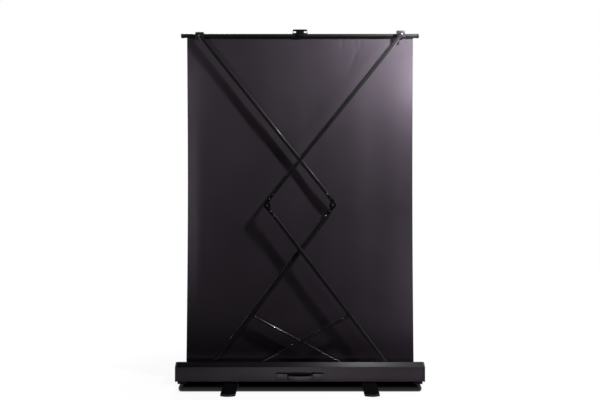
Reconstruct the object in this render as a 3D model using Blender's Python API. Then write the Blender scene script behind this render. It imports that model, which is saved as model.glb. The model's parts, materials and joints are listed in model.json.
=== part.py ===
"""Pull up projection screen on a floor case, raised, seen from its folding frame side.

Metres, +Z up. The origin is on the floor under the middle of the object. The case runs along X,
the folding frame and the black back of the cloth face -Y, and the projection surface faces +Y.
Each arm is drawn flat, as it lies in the closed case, and its empty then raises it.
"""
import math

import bmesh
import bpy
from mathutils import Vector
from mathutils.geometry import convex_hull_2d

# Clearances, overruns, facet counts and the angle past which an edge stays sharp
GAP = 0.0003
OVERRUN = 0.002
BITE = 0.001
PIN_SIDES = 24
ROUND_SIDES = 40
ARC_STEPS = 4
SHARP_ANGLE = math.radians(35)

# Case: an extruded sheet profile with a long slot in its top, as long as the roller needs. Its
# front is lower than its back
CASE_END_ROOM = 0.0119
CASE_DEPTH = 0.140
CASE_HEIGHT = 0.117
CASE_FLOOR_CLEARANCE = 0.022
CASE_WALL = 0.002
CASE_CORNER_RADIUS = 0.004
SHOULDER_DROP = 0.0225
FRONT_DROP = 0.041
SLOT_WIDTH = 0.078
LAND_WIDTH = 0.005
LIP_DROP = 0.006
CAP_THICKNESS = 0.011
CAP_OVERHANG = 0.001
CAP_EDGE_RADIUS = 0.0025

# Pads under the case's ends, and bumpers on the slot's edge, set in from the ends
PAD_LENGTH = 0.060
PAD_INSET = 0.0026
PAD_SETBACK = 0.012
PAD_EDGE_RADIUS = 0.003
BUMPER_INSET = 0.342
BUMPER_LENGTH = 0.020
BUMPER_WIDTH = 0.0042
BUMPER_HEIGHT = 0.003
BUMPER_EDGE_RADIUS = 0.0008

# Swivelling feet, set in from the case's ends
FOOT_INSET = 0.354
FOOT_LENGTH = 0.470
FOOT_WIDTH = 0.093
FOOT_TIP_BULGE = 0.010
FOOT_THICKNESS = 0.0135
FOOT_EDGE_RADIUS = 0.0015
SOLE_THICKNESS = 0.003
SOLE_MARGIN = 0.007
FOOT_BOLT_RADIUS = 0.006
FOOT_BOLT_LENGTH = 0.010
FOOT_DISC_RADIUS = 0.032

# Carry handle on the back face of the case
HANDLE_BASE_LENGTH = 0.310
HANDLE_BASE_HEIGHT = 0.048
HANDLE_BASE_THICKNESS = 0.004
HANDLE_BASE_CENTRE_Z = 0.059
HANDLE_BASE_CORNER = 0.006
HANDLE_BLOCK_LENGTH = 0.070
HANDLE_BLOCK_THICKNESS = 0.011
HANDLE_BLOCK_MARGIN = 0.003
GRIP_BULGE = 0.026
GRIP_THICKNESS = 0.008
GRIP_HEIGHT = 0.024
GRIP_DROP = 0.001
GRIP_STEPS = 12

# Bar along the top edge of the cloth
BAR_RADIUS = 0.014
BAR_WALL = 0.002
BAR_PAST_CLOTH = 0.026
BAR_Y = 0.014
BAR_PLUG_LENGTH = 0.012
BAR_PLUG_STEM = 0.020
BAR_PLUG_RADIUS = 0.0152
HEM_ROD_RADIUS = 0.003

# Cloth
CLOTH_WIDTH = 1.508
CLOTH_THICKNESS = 0.0004
CLOTH_WAIST = 0.005
CLOTH_WAVE = 0.0012
CLOTH_WAVE_COUNT = 5
CLOTH_COLUMNS = 30
CLOTH_ROWS = 16
CLOTH_IN_BAR = 0.0045

# Spring roller that the cloth winds on
ROLLER_RADIUS = 0.019
ROLLER_WALL = 0.0015
ROLLER_PAST_CLOTH = 0.008
ROLLER_Z = 0.053
WOUND_CLOTH = 0.0012
ROLLER_PLUG_LENGTH = 0.004
ROLLER_PLUG_STEM = 0.016
ROLLER_PIN_RADIUS = 0.005
ROLLER_BRACKET_DEPTH_SHARE = 0.357
ROLLER_BRACKET_TOP = 0.026
ROLLER_BRACKET_FLANGE = 0.018
SHAFT_RADIUS = 0.004
SHAFT_LENGTH = 0.330
SPRING_RADIUS = 0.0150
SPRING_NECK_RADIUS = 0.0115
SPRING_LENGTH = 0.260
SPRING_FLANGE = 0.008

# Folding frame. Arms are hinged in the case at the base pivots, at the elbows and on the bar.
# The base pivots, and the elbows once folded, are set in from the case's ends, and the top
# pivots from the bar's.
BASE_PIVOT_INSET = 0.1825
BASE_PIVOT_Z = 0.058
FOLDED_ELBOW_INSET = 0.0365
TOP_PIVOT_INSET = 0.112
RAISED_ANGLE = math.radians(52.9)
ARM_WIDTH = 0.023
ARM_THICKNESS = 0.012
ARM_WALL = 0.0015
ARM_END_OVERHANG = 0.015
ELBOW_OFFSET_LOWER = 0.0075
ELBOW_OFFSET_UPPER = 0.0170
ELBOW_DISC_RADIUS = 0.0225
ELBOW_DISC_CLEARANCE = 0.0015
ELBOW_BLOCK_LENGTH = 0.040
ELBOW_TONGUE_LENGTH = 0.045
ARM_PIN_RADIUS = 0.004
PIN_HEAD_RADIUS = 0.007
PIN_HEAD_THICKNESS = 0.0014
LAYER_A_Y = -0.012
LAYER_B_Y = -0.029
TIP_FLANGE = 0.002
TIP_STEM = 0.006
COLLAR_LENGTH = 0.030
COLLAR_WALL = 0.0018

# Brackets made of bent steel strip
STRIP = 0.0025
BASE_BRACKET_LENGTH = 0.040
BASE_BRACKET_FLANGE = 0.012
BASE_BRACKET_TOP = 0.011
ARM_BRACKET_LENGTH = 0.054
ARM_BRACKET_DROP = 0.016
ARM_BRACKET_RISE_A = 0.008
ARM_BRACKET_RISE_B = 0.014
ARM_BRACKET_REACH = 0.018
SADDLE_WALL = 0.003
SADDLE_OPENING = math.radians(50)

# Lift handle on the bar
LIFT_WIDTH = 0.105
LIFT_TOP_WIDTH = 0.094
LIFT_RISE = 0.029
LIFT_THICKNESS = 0.012
LIFT_CORNER_RADIUS = 0.008
LIFT_WINDOW_WIDTH = 0.020
LIFT_WINDOW_HEIGHT = 0.014
LIFT_WINDOW_HALF_SPAN = 0.0365
LIFT_WINDOW_SILL = 0.005
LIFT_WINDOW_RADIUS = 0.004
LIFT_SADDLE_LENGTH = 0.053

# Gas struts between the lower arms and the case. Where they hang on the arm and how far their
# anchors stand from the base pivots are shares of the lower arm's length, and the cylinder's end
# is a share of the raised strut's length.
STRUT_ALONG_ARM_SHARE = 0.34880348
STRUT_ANCHOR_SHARE = 0.12944162
STRUT_CYLINDER_SHARE = 0.600
STRUT_BELOW_ARM = 0.024
STRUT_RADIUS = 0.008
STRUT_WALL = 0.0014
STRUT_START = 0.022
STRUT_GLAND_LENGTH = 0.016
STRUT_TAPER = 0.004
ROD_RADIUS = 0.0038
ROD_INSIDE = 0.100
PISTON_LENGTH = 0.012
PISTON_CLEARANCE = 0.0008
EYE_RADIUS = 0.007
EYE_THICKNESS = 0.008
EYE_HOLE_RADIUS = 0.0028
CLEVIS_LENGTH = 0.022
CLEVIS_WALL = 0.002
CLEVIS_CLEARANCE = 0.0004
ANCHOR_LENGTH = 0.030
ANCHOR_FLANGE = 0.013
ANCHOR_TOP = 0.0085

# Colour, roughness and metallic value of each finish
FINISHES = {
    "case_black": ((0.035, 0.030, 0.036, 1.0), 0.45, 0.6),
    "cap_black": ((0.020, 0.018, 0.022, 1.0), 0.55, 0.0),
    "arm_black": ((0.022, 0.020, 0.026, 1.0), 0.35, 0.5),
    "rubber_black": ((0.012, 0.012, 0.013, 1.0), 0.85, 0.0),
    "steel_bright": ((0.600, 0.600, 0.610, 1.0), 0.25, 1.0),
    "steel_black": ((0.030, 0.028, 0.032, 1.0), 0.40, 0.8),
    "cloth_black": ((0.020, 0.018, 0.022, 1.0), 0.80, 0.0),
    "roller_alloy": ((0.550, 0.555, 0.560, 1.0), 0.35, 1.0),
}

# What follows from the sizes above
ROLLER_LENGTH = CLOTH_WIDTH + 2 * ROLLER_PAST_CLOTH
ROLLER_BRACKET_X = ROLLER_LENGTH / 2 + ROLLER_PLUG_LENGTH + 2 * GAP
CASE_LENGTH = 2 * (ROLLER_BRACKET_X + STRIP + ROLLER_BRACKET_FLANGE + CASE_END_ROOM)
BAR_LENGTH = CLOTH_WIDTH + 2 * BAR_PAST_CLOTH
BUMPER_HALF_SPAN = CASE_LENGTH / 2 - BUMPER_INSET
FOOT_HALF_SPAN = CASE_LENGTH / 2 - FOOT_INSET
BASE_PIVOT_HALF_SPAN = CASE_LENGTH / 2 - BASE_PIVOT_INSET
TOP_PIVOT_HALF_SPAN = BAR_LENGTH / 2 - TOP_PIVOT_INSET
LOWER_ARM_LENGTH = BASE_PIVOT_HALF_SPAN + CASE_LENGTH / 2 - FOLDED_ELBOW_INSET
CASE_TOP = CASE_FLOOR_CLEARANCE + CASE_HEIGHT
CASE_INNER_FLOOR = CASE_FLOOR_CLEARANCE + CASE_WALL + GAP
CAP_INNER_X = CASE_LENGTH / 2 + GAP
CASE_BACK_Y = -CASE_DEPTH / 2
UPPER_ARM_LENGTH = LOWER_ARM_LENGTH - BASE_PIVOT_HALF_SPAN + TOP_PIVOT_HALF_SPAN
LOWER_SKEW = math.asin(ELBOW_OFFSET_LOWER / LOWER_ARM_LENGTH)
UPPER_SKEW = math.asin(ELBOW_OFFSET_UPPER / UPPER_ARM_LENGTH)
LOWER_TILT = RAISED_ANGLE - LOWER_SKEW
LOWER_REACH = LOWER_ARM_LENGTH * math.cos(LOWER_SKEW)
UPPER_REACH = UPPER_ARM_LENGTH * math.cos(UPPER_SKEW)
UPPER_RAISED_ANGLE = 2 * math.asin(
    math.sqrt(LOWER_ARM_LENGTH / UPPER_ARM_LENGTH) * math.sin(RAISED_ANGLE / 2))
UPPER_TILT = UPPER_RAISED_ANGLE - UPPER_SKEW
ELBOW_X = LOWER_ARM_LENGTH * math.cos(RAISED_ANGLE) - BASE_PIVOT_HALF_SPAN
ELBOW_Z = BASE_PIVOT_Z + LOWER_ARM_LENGTH * math.sin(RAISED_ANGLE)
BAR_Z = ELBOW_Z + UPPER_ARM_LENGTH * math.sin(UPPER_RAISED_ANGLE)
ROLLER_Y = BAR_Y + CLOTH_THICKNESS / 2 + GAP + ROLLER_RADIUS + WOUND_CLOTH
ROLLER_BRACKET_WIDTH = CASE_DEPTH * ROLLER_BRACKET_DEPTH_SHARE
STRUT_ALONG_ARM = LOWER_ARM_LENGTH * STRUT_ALONG_ARM_SHARE
STRUT_ANCHOR_HALF_SPAN = BASE_PIVOT_HALF_SPAN - LOWER_ARM_LENGTH * STRUT_ANCHOR_SHARE
STRUT_EYE_X = (STRUT_ALONG_ARM * math.cos(LOWER_TILT) + STRUT_BELOW_ARM * math.sin(LOWER_TILT)
               - BASE_PIVOT_HALF_SPAN)
STRUT_EYE_Z = (BASE_PIVOT_Z + STRUT_ALONG_ARM * math.sin(LOWER_TILT)
               - STRUT_BELOW_ARM * math.cos(LOWER_TILT))
STRUT_ANCHOR_Z = BASE_PIVOT_Z - STRUT_BELOW_ARM
STRUT_TILT = math.atan2(STRUT_EYE_Z - STRUT_ANCHOR_Z, STRUT_ANCHOR_HALF_SPAN - STRUT_EYE_X)
STRUT_SPAN = math.hypot(STRUT_EYE_Z - STRUT_ANCHOR_Z, STRUT_ANCHOR_HALF_SPAN - STRUT_EYE_X)
STRUT_END = STRUT_SPAN * STRUT_CYLINDER_SHARE
ARM_TUBE_END = LOWER_REACH - ELBOW_DISC_RADIUS - ELBOW_DISC_CLEARANCE - ELBOW_BLOCK_LENGTH


def clear_scene():
    for item in list(bpy.data.objects):
        bpy.data.objects.remove(item, do_unlink=True)


def make_finish(name):
    colour, roughness, metallic = FINISHES[name]
    finish = bpy.data.materials.new(name)
    finish.use_nodes = True
    shader = finish.node_tree.nodes["Principled BSDF"]
    shader.inputs["Base Color"].default_value = colour
    shader.inputs["Roughness"].default_value = roughness
    shader.inputs["Metallic"].default_value = metallic
    return finish


def carrier(name, place, turn_y=0.0):
    """An empty on a joint's axis. It carries the pieces that turn there."""
    empty = bpy.data.objects.new(name, None)
    empty.location = place
    empty.rotation_euler = (0.0, turn_y, 0.0)
    bpy.context.scene.collection.objects.link(empty)
    return empty


def new_object(name, shape, parent, round_piece):
    mesh = bpy.data.meshes.new(name)
    bmesh.ops.recalc_face_normals(shape, faces=shape.faces[:])
    shape.to_mesh(mesh)
    shape.free()
    if round_piece:
        mesh.shade_smooth()
        mesh.set_sharp_from_angle(angle=SHARP_ANGLE)
    item = bpy.data.objects.new(name, mesh)
    item.parent = parent
    bpy.context.scene.collection.objects.link(item)
    return item


def piece(name, shape, finish, parent=None, adds=(), cuts=(), edge=0.0, round_piece=False):
    """One solid sub-part: a shape, less its cuts, joined with what is added to it."""
    item = new_object(name, shape, parent, round_piece)
    item.data.materials.append(bpy.data.materials.get(finish) or make_finish(finish))
    if edge:
        bevel = item.modifiers.new("rounded_edges", "BEVEL")
        bevel.width = edge
        bevel.segments = 2
        bevel.limit_method = "ANGLE"
    for operation, shapes in (("UNION", adds), ("DIFFERENCE", cuts)):
        for number, tool_shape in enumerate(shapes):
            tool = new_object(f"{name}_{operation.lower()}_{number}", tool_shape, parent, False)
            tool.hide_render = True
            tool.display_type = "WIRE"
            step = item.modifiers.new(tool.name, "BOOLEAN")
            step.operation = operation
            step.solver = "EXACT"
            step.object = tool
    return item


def spread(axis, first, second, along):
    """A 3-D point from two coordinates across an axis and one along it."""
    if axis == "X":
        return (along, first, second)
    if axis == "Y":
        return (first, along, second)
    return (first, second, along)


def prism(outline, axis, low, high, hole=None):
    """An outline drawn across an axis and extruded along it, with an optional like-numbered hole."""
    shape = bmesh.new()
    rings = []
    for loop in (outline, hole) if hole else (outline,):
        rings.append([[shape.verts.new(spread(axis, a, b, end)) for a, b in loop]
                      for end in (low, high)])
    for bottom, top in rings:
        for i in range(len(bottom)):
            j = (i + 1) % len(bottom)
            shape.faces.new((bottom[i], bottom[j], top[j], top[i]))
    if not hole:
        shape.faces.new(rings[0][0])
        shape.faces.new(rings[0][1])
        return shape
    for end in (0, 1):
        outer, inner = rings[0][end], rings[1][end]
        for i in range(len(outer)):
            j = (i + 1) % len(outer)
            shape.faces.new((outer[i], outer[j], inner[j], inner[i]))
    return shape


def turned(profile, axis, sides=ROUND_SIDES, centre=(0.0, 0.0)):
    """A solid of revolution. The profile lists radius and place along the axis; it closes on the
    axis where it starts and ends at radius zero, and on itself where it does not."""
    shape = bmesh.new()
    rings = []
    for radius, along in profile:
        if radius == 0.0:
            rings.append([shape.verts.new(spread(axis, centre[0], centre[1], along))])
            continue
        turns = [2 * math.pi * k / sides for k in range(sides)]
        rings.append([shape.verts.new(spread(axis, centre[0] + radius * math.cos(turn),
                                             centre[1] + radius * math.sin(turn), along))
                      for turn in turns])
    closed = profile[0][0] > 0.0
    pairs = list(zip(rings, rings[1:] + ([rings[0]] if closed else [])))
    for lower, upper in pairs:
        for k in range(sides):
            n = (k + 1) % sides
            corners = [lower[k % len(lower)], lower[n % len(lower)],
                       upper[n % len(upper)], upper[k % len(upper)]]
            corners = list(dict.fromkeys(corners))
            if len(corners) > 2:
                shape.faces.new(corners)
    return shape


def rod(radius, low, high, axis="Y", centre=(0.0, 0.0), sides=PIN_SIDES):
    return turned([(0.0, low), (radius, low), (radius, high), (0.0, high)], axis, sides, centre)


def block(low, high):
    outline = rectangle(low[0], low[2], high[0], high[2])
    return prism(outline, "Y", low[1], high[1])


def rectangle(x0, z0, x1, z1):
    return [(x0, z0), (x1, z0), (x1, z1), (x0, z1)]


def arc(centre, radius, start, end, steps):
    return [(centre[0] + radius * math.cos(start + (end - start) * k / steps),
             centre[1] + radius * math.sin(start + (end - start) * k / steps))
            for k in range(steps + 1)]


def offset(points, distance, closed):
    """Each point moved to the left of the path by a distance, with mitred corners."""
    moved = []
    count = len(points)
    for i, point in enumerate(points):
        here = Vector(point)
        before = Vector(points[i - 1]) if closed or i > 0 else None
        after = Vector(points[(i + 1) % count]) if closed or i < count - 1 else None
        sides = [(b - a).normalized() for a, b in ((before, here), (here, after)) if a and b]
        normals = [Vector((-side.y, side.x)) for side in sides]
        total = normals[0] + normals[-1]
        moved.append(tuple(here + total * (2 * distance / total.length_squared)))
    return moved


def rounded(points, radius, closed=True, steps=ARC_STEPS):
    """The outline with each corner replaced by an arc."""
    result = []
    count = len(points)
    for i, point in enumerate(points):
        if not closed and i in (0, count - 1):
            result.append(tuple(point))
            continue
        here = Vector(point)
        back = (Vector(points[i - 1]) - here).normalized()
        ahead = (Vector(points[(i + 1) % count]) - here).normalized()
        half = back.angle(ahead) / 2
        centre = here + (back + ahead).normalized() * (radius / math.sin(half))
        start = here + back * (radius / math.tan(half)) - centre
        end = here + ahead * (radius / math.tan(half)) - centre
        first = math.atan2(start.y, start.x)
        sweep = math.atan2(start.x * end.y - start.y * end.x, start.dot(end))
        result += arc(centre, radius, first, first + sweep, steps)
    return result


def hull(points):
    return [points[i] for i in convex_hull_2d([Vector(p) for p in points])]


def case_path():
    """The case's outer line, from the back lip of the slot round to the front lip."""
    half, slot = CASE_DEPTH / 2, SLOT_WIDTH / 2
    back, front = [[(half, CASE_FLOOR_CLEARANCE), (half, top - SHOULDER_DROP),
                    (slot + LAND_WIDTH, top), (slot, top), (slot, top - LIP_DROP)]
                   for top in (CASE_TOP, CASE_TOP - FRONT_DROP)]
    return [(-y, z) for y, z in reversed(back)] + front


def make_case():
    path = case_path()
    lips = path[:3] + rounded(path[2:8], CASE_CORNER_RADIUS, closed=False)[1:-1] + path[7:]
    outline = lips + offset(lips, CASE_WALL, closed=False)[::-1]
    half = CASE_LENGTH / 2
    piece("case_housing", prism(outline, "X", -half, half), "case_black")
    closed_path = path[2:8]
    cap = rounded(offset(closed_path, -CAP_OVERHANG, closed=True), CASE_CORNER_RADIUS)
    for side, name in ((-1, "left"), (1, "right")):
        ends = sorted((side * CAP_INNER_X, side * (CAP_INNER_X + CAP_THICKNESS)))
        piece(f"end_cap_{name}", prism(cap, "X", *ends), "cap_black", edge=CAP_EDGE_RADIUS)
        make_end_details(side, name)


def make_end_details(side, name):
    outer = side * (CASE_LENGTH / 2 - PAD_INSET)
    low, high = sorted((outer, outer - side * PAD_LENGTH))
    half = CASE_DEPTH / 2 - PAD_SETBACK
    pad = block((low, -half, 0.0), (high, half, CASE_FLOOR_CLEARANCE - GAP))
    piece(f"end_pad_{name}", pad, "rubber_black", edge=PAD_EDGE_RADIUS)
    centre = side * BUMPER_HALF_SPAN
    back = -SLOT_WIDTH / 2 - (LAND_WIDTH - BUMPER_WIDTH) / 2
    seat = CASE_TOP + GAP
    bumper = block((centre - BUMPER_LENGTH / 2, back - BUMPER_WIDTH, seat),
                   (centre + BUMPER_LENGTH / 2, back, seat + BUMPER_HEIGHT))
    piece(f"bumper_{name}", bumper, "rubber_black", edge=BUMPER_EDGE_RADIUS)


def foot_outline(margin):
    """A bar with bowed tips, drawn in plan about the pivot."""
    half_width = FOOT_WIDTH / 2 - margin
    half_length = FOOT_LENGTH / 2 - margin
    radius = (half_width ** 2 + FOOT_TIP_BULGE ** 2) / (2 * FOOT_TIP_BULGE)
    spread_angle = math.asin(half_width / radius)
    tip = arc((0.0, half_length - radius), radius, math.pi / 2 - spread_angle,
              math.pi / 2 + spread_angle, 2 * ARC_STEPS)
    return tip + [(-x, -y) for x, y in tip]


def make_foot(side, name):
    place = (side * FOOT_HALF_SPAN, 0.0, 0.0)
    axis = carrier(f"foot_{name}_axis", place)
    sole_top = SOLE_THICKNESS
    bottom = sole_top + GAP
    top = bottom + FOOT_THICKNESS
    bore = rod(FOOT_BOLT_RADIUS + GAP, bottom - OVERRUN, top + OVERRUN, "Z")
    piece(f"foot_{name}", prism(foot_outline(0.0), "Z", bottom, top), "cap_black", axis,
          cuts=[bore], edge=FOOT_EDGE_RADIUS)
    piece(f"foot_sole_{name}", prism(foot_outline(SOLE_MARGIN), "Z", 0.0, sole_top),
          "rubber_black", axis)
    disc_bottom = top + GAP
    bolt_end = disc_bottom - FOOT_BOLT_LENGTH
    disc_top = CASE_FLOOR_CLEARANCE - GAP
    profile = [(0.0, bolt_end), (FOOT_BOLT_RADIUS, bolt_end), (FOOT_BOLT_RADIUS, disc_bottom),
               (FOOT_DISC_RADIUS, disc_bottom), (FOOT_DISC_RADIUS, disc_top), (0.0, disc_top)]
    pivot = turned(profile, "Z", centre=(side * FOOT_HALF_SPAN, 0.0))
    piece(f"foot_pivot_{name}", pivot, "steel_black", round_piece=True)


def make_carry_handle():
    """A screwed base with two end blocks, and a bowed grip that stands off between them."""
    face = CASE_BACK_Y - GAP
    front = face - HANDLE_BASE_THICKNESS
    half, middle = HANDLE_BASE_LENGTH / 2, HANDLE_BASE_CENTRE_Z
    low, high = middle - HANDLE_BASE_HEIGHT / 2, middle + HANDLE_BASE_HEIGHT / 2
    plate = prism(rounded(rectangle(-half, low, half, high), HANDLE_BASE_CORNER), "Y", front, face)
    blocks = []
    inner = half - HANDLE_BLOCK_MARGIN - HANDLE_BLOCK_LENGTH
    for side in (-1, 1):
        ends = sorted((side * inner, side * (half - HANDLE_BLOCK_MARGIN)))
        outline = rounded(rectangle(ends[0], low + HANDLE_BLOCK_MARGIN, ends[1],
                                    high - HANDLE_BLOCK_MARGIN), HANDLE_BASE_CORNER)
        blocks.append(prism(outline, "Y", front - HANDLE_BLOCK_THICKNESS, front + BITE))
    piece("carry_handle_base", plate, "cap_black", adds=blocks)
    grip_half = inner - GAP
    seat = front - GAP
    steps = [math.pi * k / GRIP_STEPS for k in range(GRIP_STEPS + 1)]
    outside = [(-grip_half * math.cos(turn), seat - GRIP_THICKNESS
                - (GRIP_BULGE - GRIP_THICKNESS) * math.sin(turn)) for turn in steps]
    inner_half = grip_half - GRIP_THICKNESS
    inside = [(-inner_half * math.cos(turn),
               seat - (GRIP_BULGE - GRIP_THICKNESS) * math.sin(turn)) for turn in steps]
    outline = [(-grip_half, seat)] + outside + [(grip_half, seat)] + inside[::-1]
    grip_middle = middle - GRIP_DROP
    grip = prism(outline, "Z", grip_middle - GRIP_HEIGHT / 2, grip_middle + GRIP_HEIGHT / 2)
    piece("carry_handle_grip", grip, "rubber_black")


def make_roller():
    """Tube, its two plugs and the turns of cloth left on it. All of it turns together."""
    axis = carrier("roller_axis", (0.0, ROLLER_Y, ROLLER_Z))
    half = ROLLER_LENGTH / 2
    bore = ROLLER_RADIUS - ROLLER_WALL
    tube = [(bore, -half), (ROLLER_RADIUS, -half), (ROLLER_RADIUS, half), (bore, half)]
    piece("roller_tube", turned(tube, "X"), "roller_alloy", axis, round_piece=True)
    wound = ROLLER_RADIUS + WOUND_CLOTH
    cloth_half = CLOTH_WIDTH / 2
    sleeve = [(ROLLER_RADIUS + GAP, -cloth_half), (wound, -cloth_half), (wound, cloth_half),
              (ROLLER_RADIUS + GAP, cloth_half)]
    piece("fabric_roll", turned(sleeve, "X"), "cloth_black", axis, round_piece=True)
    stem = bore - GAP
    flange = half + GAP
    outer = flange + ROLLER_PLUG_LENGTH
    stem_end = half - ROLLER_PLUG_STEM
    pin_end = ROLLER_BRACKET_X + STRIP
    pinned = [(0.0, -stem_end), (stem, -stem_end), (stem, -flange), (ROLLER_RADIUS, -flange),
              (ROLLER_RADIUS, -outer), (ROLLER_PIN_RADIUS, -outer),
              (ROLLER_PIN_RADIUS, -pin_end), (0.0, -pin_end)]
    piece("roller_plug_left", turned(pinned, "X"), "cap_black", axis, round_piece=True)
    hole = SHAFT_RADIUS + GAP
    bearing = [(hole, stem_end), (stem, stem_end), (stem, flange), (ROLLER_RADIUS, flange),
               (ROLLER_RADIUS, outer), (hole, outer)]
    piece("roller_plug_right", turned(bearing, "X"), "cap_black", axis, round_piece=True)


def make_roller_supports():
    """Two brackets, and the fixed shaft and spring cartridge that wind the roller."""
    centre = (ROLLER_Y, ROLLER_Z)
    half = ROLLER_BRACKET_WIDTH / 2
    top = ROLLER_Z + ROLLER_BRACKET_TOP
    for side, name, pin in ((-1, "left", ROLLER_PIN_RADIUS), (1, "right", SHAFT_RADIUS)):
        face = ROLLER_BRACKET_X
        section = [(face, CASE_INNER_FLOOR), (face + STRIP + ROLLER_BRACKET_FLANGE, CASE_INNER_FLOOR),
                   (face + STRIP + ROLLER_BRACKET_FLANGE, CASE_INNER_FLOOR + STRIP),
                   (face + STRIP, CASE_INNER_FLOOR + STRIP), (face + STRIP, top), (face, top)]
        section = [(side * x, z) for x, z in section]
        bracket = prism(section, "Y", ROLLER_Y - half, ROLLER_Y + half)
        ends = sorted((side * (face - OVERRUN), side * (face + STRIP + OVERRUN)))
        piece(f"roller_bracket_{name}", bracket, "steel_bright",
              cuts=[rod(pin + GAP, *ends, "X", centre)])
    end = ROLLER_BRACKET_X + STRIP
    shaft = rod(SHAFT_RADIUS, end - SHAFT_LENGTH, end, "X", centre)
    piece("roller_shaft", shaft, "steel_bright", round_piece=True)
    hole = SHAFT_RADIUS + GAP
    high = ROLLER_LENGTH / 2 - ROLLER_PLUG_STEM - SPRING_FLANGE
    low = high - SPRING_LENGTH
    spring = [(hole, low), (SPRING_RADIUS, low), (SPRING_RADIUS, low + SPRING_FLANGE),
              (SPRING_NECK_RADIUS, low + SPRING_FLANGE), (SPRING_NECK_RADIUS, high - SPRING_FLANGE),
              (SPRING_RADIUS, high - SPRING_FLANGE), (SPRING_RADIUS, high), (hole, high)]
    piece("spring_cartridge", turned(spring, "X", centre=centre), "cap_black", round_piece=True)


def make_cloth():
    """The raised cloth: one thin sheet, drawn in at its middle, with faint upright waves."""
    low = ROLLER_Z
    high = BAR_Z - BAR_RADIUS + CLOTH_IN_BAR
    shape = bmesh.new()
    sheets = []
    for face in (-CLOTH_THICKNESS / 2, CLOTH_THICKNESS / 2):
        grid = []
        for row in range(CLOTH_ROWS + 1):
            v = row / CLOTH_ROWS
            half = CLOTH_WIDTH / 2 - CLOTH_WAIST * math.sin(math.pi * v)
            swell = CLOTH_WAVE * math.sin(math.pi * v) ** 2
            line = []
            for column in range(CLOTH_COLUMNS + 1):
                u = 2 * column / CLOTH_COLUMNS - 1
                wave = swell * math.sin(math.pi * CLOTH_WAVE_COUNT * u)
                line.append(shape.verts.new((u * half, BAR_Y + face + wave,
                                             low + (high - low) * v)))
            grid.append(line)
        sheets.append(grid)
        for a, b in zip(grid, grid[1:]):
            for i in range(CLOTH_COLUMNS):
                shape.faces.new((a[i], a[i + 1], b[i + 1], b[i]))
    near, far = [grid[0] + [line[-1] for line in grid[1:]] + grid[-1][-2::-1]
                 + [line[0] for line in grid[-2:0:-1]] for grid in sheets]
    for i in range(len(near)):
        j = (i + 1) % len(near)
        shape.faces.new((near[i], near[j], far[j], far[i]))
    piece("screen_fabric", shape, "cloth_black", round_piece=True)


def saddle(length, middle_x):
    """A clamp round the bar, open below where the cloth leaves it."""
    start, end = -math.pi / 2 + SADDLE_OPENING, 3 * math.pi / 2 - SADDLE_OPENING
    inner = arc((BAR_Y, 0.0), BAR_RADIUS + GAP, end, start, 4 * ARC_STEPS)
    outer = arc((BAR_Y, 0.0), BAR_RADIUS + SADDLE_WALL, start, end, 4 * ARC_STEPS)
    return prism(outer + inner, "X", middle_x - length / 2, middle_x + length / 2)


def make_bar():
    """The bar with its plugs, hem rod, two arm brackets and lift handle, all on one pivot."""
    axis = carrier("bar_axis", (-TOP_PIVOT_HALF_SPAN, 0.0, BAR_Z))
    middle = TOP_PIVOT_HALF_SPAN
    half = BAR_LENGTH / 2
    ends = (middle - half, middle + half)
    bore = BAR_RADIUS - BAR_WALL
    tube = turned([(bore, ends[0]), (BAR_RADIUS, ends[0]), (BAR_RADIUS, ends[1]), (bore, ends[1])],
                  "X", centre=(BAR_Y, 0.0))
    groove_half = CLOTH_THICKNESS / 2 + GAP
    groove = block((ends[0] - OVERRUN, BAR_Y - groove_half, -BAR_RADIUS - OVERRUN),
                   (ends[1] + OVERRUN, BAR_Y + groove_half, -bore + OVERRUN))
    piece("top_bar", tube, "arm_black", axis, cuts=[groove], round_piece=True)
    hem_z = CLOTH_IN_BAR - BAR_RADIUS + HEM_ROD_RADIUS + GAP
    cloth_half = CLOTH_WIDTH / 2
    piece("hem_rod", rod(HEM_ROD_RADIUS, middle - cloth_half, middle + cloth_half, "X",
                         (BAR_Y, hem_z)), "steel_bright", axis, round_piece=True)
    for side, name in ((-1, "left"), (1, "right")):
        end = half + GAP
        profile = [(0.0, half - BAR_PLUG_STEM), (bore - GAP, half - BAR_PLUG_STEM), (bore - GAP, end),
                   (BAR_PLUG_RADIUS, end), (BAR_PLUG_RADIUS, end + BAR_PLUG_LENGTH),
                   (0.0, end + BAR_PLUG_LENGTH)]
        profile = [(r, middle + side * x) for r, x in profile]
        piece(f"bar_plug_{name}", turned(profile, "X", centre=(BAR_Y, 0.0)), "cap_black", axis,
              round_piece=True)
    make_arm_brackets(axis)
    make_lift_handle(axis, middle)


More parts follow.
